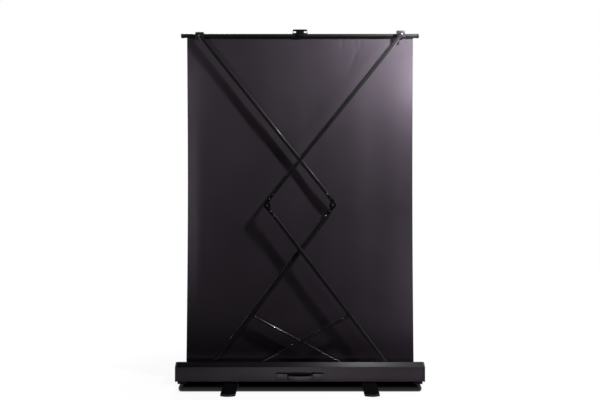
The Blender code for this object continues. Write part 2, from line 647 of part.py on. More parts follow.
def make_arm_brackets(axis):
    """Bent strips on the bar. The left one hugs the bar, the right one reaches out to its arm."""
    half = ARM_BRACKET_LENGTH / 2
    face_a = LAYER_A_Y + ARM_THICKNESS / 2 + GAP
    rise = BAR_RADIUS + ARM_BRACKET_RISE_A
    hook = [(face_a, -ARM_BRACKET_DROP), (face_a + STRIP, -ARM_BRACKET_DROP),
            (face_a + STRIP, rise - STRIP), (ARM_BRACKET_REACH, rise - STRIP),
            (ARM_BRACKET_REACH, rise), (face_a, rise)]
    web = block((-half, face_a + BITE, -ARM_BRACKET_DROP / 2),
                (half, BAR_Y - BAR_RADIUS - BITE, ARM_BRACKET_DROP / 2))
    bore = rod(ARM_PIN_RADIUS, face_a - OVERRUN, face_a + STRIP - GAP, "Y")
    piece("arm_bracket_left", prism(hook, "X", -half, half), "steel_black", axis,
          adds=[saddle(ARM_BRACKET_LENGTH, 0.0), web], cuts=[bore])
    right = 2 * TOP_PIVOT_HALF_SPAN
    face_b = LAYER_B_Y + ARM_THICKNESS / 2 + GAP
    rise = BAR_RADIUS + ARM_BRACKET_RISE_B
    back = BAR_Y - BAR_RADIUS - GAP
    channel = [(face_b, -ARM_BRACKET_DROP), (face_b + STRIP, -ARM_BRACKET_DROP),
               (face_b + STRIP, rise - STRIP), (back - STRIP, rise - STRIP),
               (back - STRIP, -ARM_BRACKET_DROP / 2), (back, -ARM_BRACKET_DROP / 2),
               (back, rise - STRIP), (ARM_BRACKET_REACH, rise - STRIP),
               (ARM_BRACKET_REACH, rise), (face_b, rise)]
    piece("arm_bracket_right", prism(channel, "X", right - half, right + half), "steel_black",
          axis, adds=[saddle(ARM_BRACKET_LENGTH, right)])
    front = LAYER_A_Y - ARM_THICKNESS / 2 - GAP
    head = front - PIN_HEAD_THICKNESS
    pin = [(0.0, head), (PIN_HEAD_RADIUS, head), (PIN_HEAD_RADIUS, front),
           (ARM_PIN_RADIUS - GAP, front), (ARM_PIN_RADIUS - GAP, face_a + STRIP - 2 * GAP),
           (0.0, face_a + STRIP - 2 * GAP)]
    piece("top_pin_a", turned(pin, "Y", PIN_SIDES), "steel_bright", axis, round_piece=True)


def make_lift_handle(axis, middle):
    base = LIFT_WIDTH / 2
    top = LIFT_TOP_WIDTH / 2
    rise = BAR_RADIUS + LIFT_RISE
    slope = [(middle + top, rise), (middle - top, rise)]
    foot = [(middle - base, 0.0), (middle + base, 0.0)]
    outline = rounded(foot + slope, LIFT_CORNER_RADIUS)
    half = LIFT_THICKNESS / 2
    plate = prism(outline, "Y", BAR_Y - half, BAR_Y + half)
    sill = BAR_RADIUS + LIFT_WINDOW_SILL
    windows = []
    for side in (-1, 1):
        centre = middle + side * LIFT_WINDOW_HALF_SPAN
        frame = rectangle(centre - LIFT_WINDOW_WIDTH / 2, sill, centre + LIFT_WINDOW_WIDTH / 2,
                          sill + LIFT_WINDOW_HEIGHT)
        windows.append(prism(rounded(frame, LIFT_WINDOW_RADIUS), "Y", BAR_Y - half - OVERRUN,
                             BAR_Y + half + OVERRUN))
    seat = rod(BAR_RADIUS + GAP, middle - base - OVERRUN, middle + base + OVERRUN, "X",
               (BAR_Y, 0.0), ROUND_SIDES)
    piece("lift_handle", plate, "cap_black", axis,
          adds=[saddle(LIFT_SADDLE_LENGTH, middle)], cuts=windows + [seat])


def arm_section(inset):
    half_width = ARM_WIDTH / 2 - inset
    half_thickness = ARM_THICKNESS / 2 - inset
    return rectangle(-half_thickness, -half_width, half_thickness, half_width)


def lifted(section, rise):
    return [(y, w + rise) for y, w in section]


def arm_tube(start, end, rise):
    outer, inner = lifted(arm_section(0.0), rise), lifted(arm_section(ARM_WALL), rise)
    return prism(outer, "X", *sorted((start, end)), hole=inner)


def cross_hole(place):
    half = ARM_THICKNESS / 2 + OVERRUN
    return rod(ARM_PIN_RADIUS + GAP, -half, half, "Y", place)


def elbow_parts(hand, tube_end, pivot, rise, front):
    """A full block, a plug for the tube, and a disc of half the thickness round the pivot. The
    arm's middle line is raised by the rise."""
    toward = 1 if pivot[0] > tube_end else -1
    block_end = tube_end + toward * ELBOW_BLOCK_LENGTH
    body = prism(lifted(arm_section(0.0), rise), "X",
                 *sorted((hand * (tube_end + toward * GAP), hand * block_end)))
    tongue = prism(lifted(arm_section(ARM_WALL + GAP), rise), "X",
                   *sorted((hand * (tube_end - toward * ELBOW_TONGUE_LENGTH),
                            hand * (tube_end + toward * OVERRUN))))
    ring = arc((hand * pivot[0], pivot[1]), ELBOW_DISC_RADIUS, 0.0, 2 * math.pi, ROUND_SIDES)[:-1]
    corner = hand * (block_end - toward * GAP)
    corners = [(corner, rise + ARM_WIDTH / 2), (corner, rise - ARM_WIDTH / 2)]
    half = ARM_THICKNESS / 2
    low, high = (-half, -GAP) if front else (GAP, half)
    ear = prism(hull(ring + corners), "Y", low, high)
    return body, tongue, ear


def rivet(front_y, back_y, centre):
    """A pin with a low head at each end."""
    head = PIN_HEAD_THICKNESS
    return turned([(0.0, front_y - head), (PIN_HEAD_RADIUS, front_y - head),
                   (PIN_HEAD_RADIUS, front_y), (ARM_PIN_RADIUS, front_y),
                   (ARM_PIN_RADIUS, back_y), (PIN_HEAD_RADIUS, back_y),
                   (PIN_HEAD_RADIUS, back_y + head), (0.0, back_y + head)], "Y", PIN_SIDES,
                  centre)


def make_lower_arm(letter, hand, layer):
    place = (-hand * BASE_PIVOT_HALF_SPAN, layer, BASE_PIVOT_Z)
    axis = carrier(f"lower_arm_{letter}_axis", place, -hand * LOWER_TILT)
    tube = arm_tube(-hand * ARM_END_OVERHANG, hand * ARM_TUBE_END, 0.0)
    piece(f"lower_arm_{letter}", tube, "arm_black", axis, cuts=[cross_hole((0.0, 0.0))])
    pivot = (LOWER_REACH, ELBOW_OFFSET_LOWER)
    body, tongue, ear = elbow_parts(hand, ARM_TUBE_END, pivot, 0.0, True)
    elbow = (hand * LOWER_REACH, ELBOW_OFFSET_LOWER)
    piece(f"lower_elbow_{letter}", body, "cap_black", axis, adds=[tongue, ear],
          cuts=[cross_hole(elbow)])
    half = ARM_THICKNESS / 2
    piece(f"elbow_rivet_{letter}", rivet(-half - GAP, half + GAP, elbow), "steel_bright", axis,
          round_piece=True)
    make_strut_bracket(letter, hand, axis)
    return axis


def make_strut_bracket(letter, hand, axis):
    """A clevis under the arm with its pin."""
    inner = EYE_THICKNESS / 2 + CLEVIS_CLEARANCE
    outer = inner + CLEVIS_WALL
    top = -ARM_WIDTH / 2 - GAP
    root = top - CLEVIS_WALL
    tip = -STRUT_BELOW_ARM - EYE_RADIUS
    section = [(-outer, top), (-outer, tip), (-inner, tip), (-inner, root), (inner, root),
               (inner, tip), (outer, tip), (outer, top)]
    centre = hand * STRUT_ALONG_ARM
    clevis = prism(section, "X", centre - CLEVIS_LENGTH / 2, centre + CLEVIS_LENGTH / 2)
    pin = rod(EYE_HOLE_RADIUS - GAP, -outer - BITE, outer + BITE, "Y",
              (centre, -STRUT_BELOW_ARM))
    piece(f"strut_bracket_{letter}", clevis, "steel_bright", axis, adds=[pin])


def make_upper_arm(letter, hand, layer):
    """The hand is the way the arm runs from its elbow: -1 to the left, +1 to the right."""
    place = (-hand * ELBOW_X, layer, ELBOW_Z)
    axis = carrier(f"upper_arm_{letter}_axis", place, -hand * UPPER_TILT)
    rise = ELBOW_OFFSET_UPPER
    tube_start = ELBOW_DISC_RADIUS + ELBOW_DISC_CLEARANCE + ELBOW_BLOCK_LENGTH
    tube_end = UPPER_REACH + ARM_END_OVERHANG
    tube = arm_tube(hand * tube_start, hand * tube_end, rise)
    top_pivot = (hand * UPPER_REACH, rise)
    piece(f"upper_arm_{letter}", tube, "arm_black", axis, cuts=[cross_hole(top_pivot)])
    body, tongue, ear = elbow_parts(hand, tube_start, (0.0, 0.0), rise, False)
    piece(f"upper_elbow_{letter}", body, "cap_black", axis, adds=[tongue, ear],
          cuts=[cross_hole((0.0, 0.0))])
    flange = lifted(arm_section(0.0), rise)
    stem = lifted(arm_section(ARM_WALL + GAP), rise)
    outer_end = tube_end + GAP
    cap = prism(flange, "X", *sorted((hand * outer_end, hand * (outer_end + TIP_FLANGE))))
    plug = prism(stem, "X", *sorted((hand * (tube_end - TIP_STEM), hand * (outer_end + BITE))))
    piece(f"arm_tip_{letter}", cap, "cap_black", axis, adds=[plug])
    return axis


def make_base_bracket(name, hand, layer, side):
    """An angle on the case floor with the arm's pin. Its plate is on the side away from the
    other pair of arms, so that those pass it."""
    centre = -hand * BASE_PIVOT_HALF_SPAN
    face = layer + side * (ARM_THICKNESS / 2 + GAP)
    back = face + side * STRIP
    flange = back + side * BASE_BRACKET_FLANGE
    floor = CASE_INNER_FLOOR
    section = [(face, floor), (flange, floor), (flange, floor + STRIP), (back, floor + STRIP),
               (back, BASE_PIVOT_Z + BASE_BRACKET_TOP), (face, BASE_PIVOT_Z + BASE_BRACKET_TOP)]
    half = BASE_BRACKET_LENGTH / 2
    ends = sorted((face - side * OVERRUN, back + side * OVERRUN))
    hole = rod(ARM_PIN_RADIUS + GAP, *ends, "Y", (centre, BASE_PIVOT_Z))
    piece(f"arm_base_bracket_{name}", prism(section, "X", centre - half, centre + half),
          "steel_bright", cuts=[hole])
    near = layer - side * (ARM_THICKNESS / 2 + GAP)
    far = back + side * GAP
    pin = rivet(*sorted((near, far)), (centre, BASE_PIVOT_Z))
    piece(f"base_pin_{name}", pin, "steel_bright", round_piece=True)


def make_strut(letter, hand, layer):
    """A gas strut, drawn along X from the eye that hangs in the arm's clevis."""
    place = (hand * STRUT_EYE_X, layer, STRUT_EYE_Z)
    axis = carrier(f"strut_{letter}_axis", place, hand * STRUT_TILT)
    half = EYE_THICKNESS / 2
    bore = STRUT_RADIUS - STRUT_WALL
    gland = STRUT_END - STRUT_GLAND_LENGTH
    inner_start = STRUT_START + STRUT_WALL
    profile = [(0.0, STRUT_START), (STRUT_RADIUS - STRUT_TAPER / 2, STRUT_START),
               (STRUT_RADIUS, STRUT_START + STRUT_TAPER), (STRUT_RADIUS, STRUT_END - STRUT_TAPER),
               (STRUT_RADIUS - STRUT_TAPER / 2, STRUT_END), (ROD_RADIUS + GAP, STRUT_END),
               (ROD_RADIUS + GAP, gland), (bore, gland), (bore, inner_start), (0.0, inner_start)]
    cylinder = turned([(r, hand * s) for r, s in profile], "X", PIN_SIDES)
    neck = rod(ROD_RADIUS, *sorted((hand * (EYE_RADIUS - BITE), hand * (STRUT_START + BITE))), "X",
               sides=PIN_SIDES)
    ring = turned([(EYE_HOLE_RADIUS, -half), (EYE_RADIUS, -half), (EYE_RADIUS, half),
                   (EYE_HOLE_RADIUS, half)], "Y", PIN_SIDES)
    piece(f"strut_cylinder_{letter}", cylinder, "steel_black", axis, adds=[neck, ring],
          round_piece=True)
    piston_start = STRUT_END - ROD_INSIDE
    piston = bore - PISTON_CLEARANCE
    stem = [(0.0, piston_start), (piston, piston_start), (piston, piston_start + PISTON_LENGTH),
            (ROD_RADIUS, piston_start + PISTON_LENGTH), (ROD_RADIUS, STRUT_SPAN - BITE),
            (0.0, STRUT_SPAN - BITE)]
    shaft = turned([(r, hand * s) for r, s in stem], "X", PIN_SIDES)
    eye = rod(EYE_RADIUS, -half, half, "Y", (hand * STRUT_SPAN, 0.0))
    piece(f"strut_rod_{letter}", shaft, "steel_bright", axis, adds=[eye], round_piece=True)


def make_strut_anchor(name, hand, layer, side):
    """An angle on the case floor that stands beside the rod's eye."""
    centre = hand * STRUT_ANCHOR_HALF_SPAN
    face = layer + side * (EYE_THICKNESS / 2 + GAP)
    back = face + side * STRIP
    flange = back + side * ANCHOR_FLANGE
    floor = CASE_INNER_FLOOR
    top = STRUT_ANCHOR_Z + ANCHOR_TOP
    section = [(face, floor), (flange, floor), (flange, floor + STRIP), (back, floor + STRIP),
               (back, top), (face, top)]
    half = ANCHOR_LENGTH / 2
    piece(f"strut_anchor_{name}", prism(section, "X", centre - half, centre + half),
          "steel_bright")


def make_collar(axis, hand):
    """A plastic sleeve on the rear arm, where the two lower arms cross."""
    crossing = BASE_PIVOT_HALF_SPAN / math.cos(LOWER_TILT)
    outer = arm_section(-COLLAR_WALL - GAP)
    inner = arm_section(-GAP)
    low, high = crossing - COLLAR_LENGTH / 2, crossing + COLLAR_LENGTH / 2
    piece("crossing_collar", prism(outer, "X", *sorted((hand * low, hand * high)), hole=inner),
          "cap_black", axis)


def make_frame():
    lower_a = make_lower_arm("a", 1, LAYER_A_Y)
    make_lower_arm("b", -1, LAYER_B_Y)
    make_collar(lower_a, 1)
    make_upper_arm("a", -1, LAYER_A_Y)
    upper_b = make_upper_arm("b", 1, LAYER_B_Y)
    half = ARM_THICKNESS / 2
    front = -half - GAP
    pin = turned([(0.0, front - PIN_HEAD_THICKNESS), (PIN_HEAD_RADIUS, front - PIN_HEAD_THICKNESS),
                  (PIN_HEAD_RADIUS, front), (ARM_PIN_RADIUS, front), (ARM_PIN_RADIUS, half),
                  (0.0, half)], "Y", PIN_SIDES, (UPPER_REACH, ELBOW_OFFSET_UPPER))
    piece("top_rivet_b", pin, "steel_bright", upper_b, round_piece=True)
    make_base_bracket("left", 1, LAYER_A_Y, 1)
    make_base_bracket("right", -1, LAYER_B_Y, -1)
    make_strut("a", 1, LAYER_A_Y)
    make_strut("b", -1, LAYER_B_Y)
    make_strut_anchor("right", 1, LAYER_A_Y, 1)
    make_strut_anchor("left", -1, LAYER_B_Y, -1)


clear_scene()
make_case()
make_foot(-1, "left")
make_foot(1, "right")
make_carry_handle()
make_roller()
make_roller_supports()
make_cloth()
make_bar()
make_frame()
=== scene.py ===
"""Looks of the pull up projection screen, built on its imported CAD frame. Metres, +Z up."""
import json
import math

import bmesh
import bpy
from mathutils import Matrix, Vector
from mathutils.geometry import convex_hull_2d


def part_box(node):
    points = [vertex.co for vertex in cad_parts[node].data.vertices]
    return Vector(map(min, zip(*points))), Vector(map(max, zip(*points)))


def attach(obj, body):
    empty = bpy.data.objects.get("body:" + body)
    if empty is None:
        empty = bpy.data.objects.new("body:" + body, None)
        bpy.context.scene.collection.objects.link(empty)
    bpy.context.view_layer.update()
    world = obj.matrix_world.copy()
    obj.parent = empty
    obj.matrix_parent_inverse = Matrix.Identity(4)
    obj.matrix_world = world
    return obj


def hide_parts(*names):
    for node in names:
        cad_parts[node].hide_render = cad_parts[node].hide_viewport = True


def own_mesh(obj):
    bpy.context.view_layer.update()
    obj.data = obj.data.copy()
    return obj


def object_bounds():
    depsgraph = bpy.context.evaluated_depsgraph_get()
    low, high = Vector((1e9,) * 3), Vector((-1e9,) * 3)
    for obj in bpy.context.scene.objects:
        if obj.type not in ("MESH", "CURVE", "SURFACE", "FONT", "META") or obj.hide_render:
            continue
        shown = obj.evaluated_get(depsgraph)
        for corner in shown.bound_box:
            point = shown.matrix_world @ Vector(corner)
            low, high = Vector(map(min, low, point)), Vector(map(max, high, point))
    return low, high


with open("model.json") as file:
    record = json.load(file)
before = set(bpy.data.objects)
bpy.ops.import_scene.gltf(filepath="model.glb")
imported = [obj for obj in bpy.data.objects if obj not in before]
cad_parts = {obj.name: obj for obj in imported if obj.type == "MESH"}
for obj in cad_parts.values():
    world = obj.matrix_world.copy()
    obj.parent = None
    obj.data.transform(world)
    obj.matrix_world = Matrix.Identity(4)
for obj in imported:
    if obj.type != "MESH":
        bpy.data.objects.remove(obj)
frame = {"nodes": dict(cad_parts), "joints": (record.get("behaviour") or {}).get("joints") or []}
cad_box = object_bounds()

# Camera. It stands in front of the frame's side, a little over half the screen's height, nearly
# level, and the lens is shifted down, so that the upright edges stay almost upright.
CAMERA_PLACE = (0.0, -3.37, 1.494)
CAMERA_PITCH = math.radians(90.6)
CAMERA_LENS = 30.48
CAMERA_SHIFT = -0.0852
scene = bpy.context.scene
scene.view_settings.view_transform = "Standard"
camera = bpy.data.objects.new("camera", bpy.data.cameras.new("camera"))
camera.data.lens = CAMERA_LENS
camera.data.sensor_width = 36.0
camera.data.shift_y = CAMERA_SHIFT
camera.location = CAMERA_PLACE
camera.rotation_euler = (CAMERA_PITCH, 0.0, 0.0)
scene.collection.objects.link(camera)
scene.camera = camera


# Room. A pale world and floor that look white to the camera, a small strong lamp high on the
# right, weaker ones beside the cloth's edges, a low one for the case and one on the far side.
def start_tree(tree):
    """A way to add a node to the tree with its inputs and settings, and a way to join sockets."""
    def fill(socket, value):
        if isinstance(value, bpy.types.Node):
            value = value.outputs[0]
        if isinstance(value, bpy.types.NodeSocket):
            tree.links.new(value, socket)
        else:
            socket.default_value = value

    def add(kind, *given, named=None, **settings):
        made = tree.nodes.new(kind)
        for key, value in settings.items():
            setattr(made, key, value)
        for socket, value in zip(made.inputs, given):
            fill(socket, value)
        for label, value in (named or {}).items():
            fill(made.inputs[label], value)
        return made
    return add, tree.links.new


def seen_level(add, in_gloss):
    """All for a ray that sees straight or through a thing, a share of it in a gloss, else nothing."""
    rays = add("ShaderNodeLightPath").outputs
    share = add("ShaderNodeMath", rays["Is Glossy Ray"], in_gloss, operation="MULTIPLY")
    seen = add("ShaderNodeMath", rays["Is Camera Ray"], share, operation="MAXIMUM")
    return add("ShaderNodeMath", seen, rays["Is Transmission Ray"], operation="MAXIMUM")


AMBIENT = 0.004
CAMERA_SIDE_GLOSS = 0.008
FAR_SIDE_GLOSS = 0.18
GLOSS_CHANGE = 0.3
world = bpy.data.worlds.new("room")
world.use_nodes = True
scene.world = world
add, link = start_tree(world.node_tree)
direction = add("ShaderNodeSeparateXYZ", add("ShaderNodeTexCoord").outputs["Generated"])
gloss = add("ShaderNodeMapRange", direction.outputs["Y"], -GLOSS_CHANGE, GLOSS_CHANGE, CAMERA_SIDE_GLOSS,
            FAR_SIDE_GLOSS)
level = add("ShaderNodeMath", seen_level(add, gloss), AMBIENT, operation="MAXIMUM")
back = world.node_tree.nodes["Background"]
back.inputs["Color"].default_value = (1.0, 1.0, 1.0, 1.0)
link(level.outputs[0], back.inputs["Strength"])

# The floor glows white to the camera a little more away from the screen. Close to the case a painted
# contact shadow darkens its colour and its glow: the shadow's curve goes by the way from the case, and its
# two end points come first.
FLOOR_HALF = 8.0
FLOOR_SHADE = 0.10
FLOOR_GLOW = 0.91
FLOOR_IN_GLOSS = 0.012
GLOW_NARROWING = (0.55, 1.0, 1.0)
GLOW_NEAR = 0.45
GLOW_FAR = 1.0
CONTACT_MIDDLE = (0.0, -0.03, 0.0)
UNDER_CASE = (cad_box[1][0] - 0.065, 0.04, 1.0)
CONTACT_NARROWING = (2.5, 1.0, 1.0)
PAINTED_SHADOW_CURVE = ((0.0, 0.0), (1.0, 1.0), (0.018, 0.002), (0.040, 0.016), (0.080, 0.030), (0.093, 1.0))
floor_mesh = bpy.data.meshes.new("floor")
corners = [(-FLOOR_HALF, -FLOOR_HALF, 0.0), (FLOOR_HALF, -FLOOR_HALF, 0.0), (FLOOR_HALF, FLOOR_HALF, 0.0),
           (-FLOOR_HALF, FLOOR_HALF, 0.0)]
floor_mesh.from_pydata(corners, [], [(0, 1, 2, 3)])
floor = bpy.data.objects.new("floor", floor_mesh)
scene.collection.objects.link(floor)
floor_finish = bpy.data.materials.new("floor_white")
floor_finish.use_nodes = True
add, link = start_tree(floor_finish.node_tree)
shader = floor_finish.node_tree.nodes["Principled BSDF"]
shader.inputs["Roughness"].default_value = 0.9
shader.inputs["Specular IOR Level"].default_value = 0.0
shader.inputs["Emission Color"].default_value = (1.0, 1.0, 1.0, 1.0)
place = add("ShaderNodeTexCoord").outputs["Object"]
narrowed = add("ShaderNodeVectorMath", place, GLOW_NARROWING, operation="MULTIPLY")
away = add("ShaderNodeVectorMath", narrowed, operation="LENGTH")
near_far = add("ShaderNodeMapRange", away.outputs["Value"], GLOW_NEAR, GLOW_FAR, FLOOR_GLOW, 1.0,
               interpolation_type="SMOOTHSTEP")
from_middle = add("ShaderNodeVectorMath", place, CONTACT_MIDDLE, operation="SUBTRACT")
mirrored = add("ShaderNodeVectorMath", from_middle, operation="ABSOLUTE")
past_case = add("ShaderNodeVectorMath", mirrored, UNDER_CASE, operation="SUBTRACT")
outside = add("ShaderNodeVectorMath", past_case, operation="MAXIMUM")
narrowed = add("ShaderNodeVectorMath", outside, CONTACT_NARROWING, operation="MULTIPLY")
from_case = add("ShaderNodeVectorMath", narrowed, operation="LENGTH")
painted_contact_shadow = add("ShaderNodeFloatCurve", named={"Value": from_case.outputs["Value"]})
shadow_curve = painted_contact_shadow.mapping.curves[0]
for point, (way, level_there) in zip(shadow_curve.points, PAINTED_SHADOW_CURVE):
    point.location = (way, level_there)
for way, level_there in PAINTED_SHADOW_CURVE[2:]:
    shadow_curve.points.new(way, level_there)
for point in shadow_curve.points:
    point.handle_type = "VECTOR"
painted_contact_shadow.mapping.update()
# Painted contact shadow: the floor's colour and glow fall towards black near the case.
shade = add("ShaderNodeMath", painted_contact_shadow, FLOOR_SHADE, operation="MULTIPLY")
link(shade.outputs[0], shader.inputs["Base Color"])
open_floor = add("ShaderNodeMath", near_far, painted_contact_shadow, operation="MULTIPLY")
glow = add("ShaderNodeMath", seen_level(add, FLOOR_IN_GLOSS), open_floor, operation="MULTIPLY")
link(glow.outputs[0], shader.inputs["Emission Strength"])
floor_mesh.materials.append(floor_finish)

for name, place, aim, size, power, spread in (
        ("main_lamp", (1.28, -0.60, 2.96), (0.0, 0.0, 1.3), (0.12, 0.12), 56.0, 180.0),
        ("top_right_lamp", (1.02, -0.20, 2.05), (0.6, 0.0, 1.85), (0.16, 0.16), 4.6, 180.0),
        ("right_lamp", (1.10, -0.16, 1.45), (0.5, 0.0, 1.3), (0.20, 1.30), 1.8, 180.0),
        ("low_right_lamp", (1.25, -0.36, 0.50), (0.3, 0.0, 0.4), (0.50, 0.50), 2.4, 180.0),
        ("left_lamp", (-1.15, -0.03, 1.30), (-0.74, 0.02, 1.25), (0.10, 1.70), 0.95, 40.0),
        ("left_front_lamp", (-1.15, -0.50, 2.15), (-0.6, 0.0, 2.0), (0.12, 0.12), 0.95, 180.0),
        ("case_lamp", (-0.05, -1.40, 0.076), (-0.05, 0.0, 0.052), (2.80, 0.06), 0.34, 11.0),
        ("far_side_lamp", (-1.4, 3.4, 2.8), (0.0, 0.0, 1.1), (1.80, 1.80), 26.0, 60.0)):
    lamp_data = bpy.data.lights.new(name, "AREA")
    lamp_data.shape = "ELLIPSE"
    lamp_data.size, lamp_data.size_y = size
    lamp_data.energy = power
    lamp_data.spread = math.radians(spread)
    lamp = bpy.data.objects.new(name, lamp_data)
    lamp.location = place
    lamp.rotation_euler = (Vector(aim) - Vector(place)).to_track_quat("-Z", "Y").to_euler()
    lamp.visible_camera = False
    scene.collection.objects.link(lamp)


# Case. A long aluminium extrusion, powder coated a purplish black, open along the top where the
# frame and the cloth come out, and lower in front than behind. The slot's lips are folded in.
def start_finish(name, colour, roughness, metallic=0.0, specular=0.5):
    """A material with its flat values on the shader, and the ways to add and join nodes."""
    finish = bpy.data.materials.new(name)
    finish.use_nodes = True
    shader = finish.node_tree.nodes["Principled BSDF"]
    shader.inputs["Base Color"].default_value = (*colour, 1.0)
    shader.inputs["Roughness"].default_value = roughness
    shader.inputs["Metallic"].default_value = metallic
    shader.inputs["Specular IOR Level"].default_value = specular
    add, link = start_tree(finish.node_tree)
    return finish, shader, add, link


NOISE_LOW = 0.3
NOISE_HIGH = 0.7


def noise(add, size, detail, stretch=(1.0, 1.0, 1.0)):
    """Noise over object coordinates. The size is that of one blotch, in metres."""
    place = add("ShaderNodeTexCoord").outputs["Object"]
    scaled = add("ShaderNodeMapping", place, named={"Scale": [s / size for s in stretch]})
    made = add("ShaderNodeTexNoise", named={"Vector": scaled, "Scale": 1.0, "Detail": detail})
    return made.outputs["Fac"]


def vary(add, link, value, low, high, target):
    """A noise's value spread between two levels on a socket."""
    spread = add("ShaderNodeMapRange", value, NOISE_LOW, NOISE_HIGH, low, high)
    link(spread.outputs[0], target)


def tint(add, link, value, dark, light, target):
    """A noise's value turned into a colour between two."""
    ramp = add("ShaderNodeValToRGB", value)
    ramp.color_ramp.elements[0].position = NOISE_LOW
    ramp.color_ramp.elements[1].position = NOISE_HIGH
    ramp.color_ramp.elements[0].color = (*dark, 1.0)
    ramp.color_ramp.elements[1].color = (*light, 1.0)
    link(ramp.outputs["Color"], target)


def bump(add, link, value, depth, shader):
    made = add("ShaderNodeBump", named={"Strength": 1.0, "Distance": depth, "Height": value})
    link(made.outputs[0], shader.inputs["Normal"])


def blotchy_finish(name, colour, roughness, blotch, detail=3.0, stretch=(1.0, 1.0, 1.0), grain=None,
                   shades=None, coat=None, metallic=0.0, specular=0.5):
    """A finish with its roughness from low to high in blotches of a size. A grain is its size, its
    depth and its detail, shades are a darker and a lighter one, a coat is its weight and roughness."""
    finish, shader, add, link = start_finish(name, colour, roughness[0], metallic, specular)
    blotches = noise(add, blotch, detail, stretch)
    vary(add, link, blotches, *roughness, shader.inputs["Roughness"])
    if shades:
        tint(add, link, blotches, *shades, shader.inputs["Base Color"])
    if grain:
        bump(add, link, noise(add, grain[0], grain[2]), grain[1], shader)
    if coat:
        shader.inputs["Coat Weight"].default_value = coat[0]
        shader.inputs["Coat Roughness"].default_value = coat[1]
    return finish


DRAWN_OUT = (1.0, 2.0, 2.0)
case_coat = blotchy_finish("case_powder_coat", (0.032, 0.023, 0.032), (0.40, 0.50), 0.25, 4.0, DRAWN_OUT,
                           grain=(0.0012, 0.00006, 2.0),
                           shades=((0.030, 0.021, 0.030), (0.034, 0.025, 0.034)))


def arc(centre, radius, start, end, steps):
    turns = [math.radians(start + (end - start) * k / steps) for k in range(steps + 1)]
    return [(centre[0] + radius * math.cos(t), centre[1] + radius * math.sin(t)) for t in turns]


def rounded(points, radius, steps=6, closed=True):
    """The outline with each corner replaced by an arc."""
    result = []
    for i, point in enumerate(points):
        if not closed and i in (0, len(points) - 1):
            result.append(tuple(point))
            continue
        here = Vector(point)
        before = (Vector(points[i - 1]) - here).normalized()
        after = (Vector(points[(i + 1) % len(points)]) - here).normalized()
        half = before.angle(after) / 2
        centre = here + (before + after).normalized() * (radius / math.sin(half))
        first = here + before * (radius / math.tan(half)) - centre
        last = here + after * (radius / math.tan(half)) - centre
        sweep = math.atan2(first.x * last.y - first.y * last.x, first.dot(last))
        begin = math.degrees(math.atan2(first.y, first.x))
        result += arc(centre, radius, begin, begin + math.degrees(sweep), steps)
    return result


def rectangle(left, low, right, high):
    return [(left, low), (right, low), (right, high), (left, high)]


def spread_point(axis, first, second, along):
    return {"X": (along, first, second), "Y": (first, along, second),
            "Z": (first, second, along)}[axis]


def prism(outline, axis, low, high, hole=None):
    """An outline drawn across an axis and extruded along it, with an optional like-numbered hole."""
    shape = bmesh.new()
    rings = [[[shape.verts.new(spread_point(axis, a, b, end)) for a, b in loop] for end in (low, high)]
             for loop in ((outline, hole) if hole else (outline,))]
    for bottom, top in rings:
        for i in range(len(bottom)):
            j = (i + 1) % len(bottom)
            shape.faces.new((bottom[i], bottom[j], top[j], top[i]))
    for end in (0, 1):
        if not hole:
            shape.faces.new(rings[0][end])
            continue
        outer, inner = rings[0][end], rings[1][end]
        for i in range(len(outer)):
            j = (i + 1) % len(outer)
            shape.faces.new((outer[i], outer[j], inner[j], inner[i]))
    return shape


def loose_object(name, shape):
    mesh = bpy.data.meshes.new(name)
    bmesh.ops.recalc_face_normals(shape, faces=shape.faces[:])
    shape.to_mesh(mesh)
    shape.free()
    made = bpy.data.objects.new(name, mesh)
    scene.collection.objects.link(made)
    return made


def round_edges(made, width, segments):
    bevel = made.modifiers.new("rounded_edges", "BEVEL")
    bevel.width = width
    bevel.segments = segments
    bevel.limit_method = "ANGLE"
    bevel.angle_limit = math.radians(40)


def smooth(made, sharp):
    """Smooth shading, but for the edges that bend by more than an angle in degrees."""
    made.data.shade_smooth()
    made.data.set_sharp_from_angle(angle=math.radians(sharp))


def piece(name, shape, body, finish, stands_for=(), adds=(), cuts=(), edge=0.0, segments=3,
          placing=None, sharp=35.0):
    """One piece: a shape joined with what is added and less its cuts, with its edges rounded,
    moved into place, given its finish and put on its body."""
    made = loose_object(name, shape)
    tools = []
    for operation, shapes in (("UNION", adds), ("DIFFERENCE", cuts)):
        for number, tool_shape in enumerate(shapes):
            tool = loose_object(f"{name}_{operation.lower()}_{number}", tool_shape)
            step = made.modifiers.new(tool.name, "BOOLEAN")
            step.operation = operation
            step.solver = "EXACT"
            step.object = tool
            tools.append(tool)
    if edge:
        round_edges(made, edge, segments)
    settle(made)
    for tool in tools:
        bpy.data.objects.remove(tool, do_unlink=True)
    if placing:
        made.data.transform(placing)
    smooth(made, sharp)
    dress(made, body, finish, stands_for)
    return made


def settle(made):
    """Applies an object's modifiers to its mesh."""
    bpy.context.view_layer.update()
    graph = bpy.context.evaluated_depsgraph_get()
    mesh = bpy.data.meshes.new_from_object(made.evaluated_get(graph), depsgraph=graph)
    made.modifiers.clear()
    made.data = mesh


def dress(made, body, finish, stands_for=()):
    if finish:
        made.data.materials.clear()
        made.data.materials.append(finish)
    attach(made, body)
    if stands_for:
        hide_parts(*stands_for)


low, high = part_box("case_housing")
CASE_HALF = high.x
CASE_BOTTOM = low.z
CASE_TOP = high.z
CASE_FRONT = high.y
SLOT_HALF = 0.039
SLOT_LAND = 0.005
SHOULDER_DROP = 0.0225
FRONT_DROP = 0.041
CASE_WALL = 0.002
LIP_DROP = 0.006


def case_side(top):
    """One side of the case's outer line, from its underside to the slot, drawn to the right."""
    return [(CASE_FRONT, CASE_BOTTOM), (CASE_FRONT, top - SHOULDER_DROP),
            (SLOT_HALF + SLOT_LAND, top), (SLOT_HALF, top), (SLOT_HALF, top - LIP_DROP)]


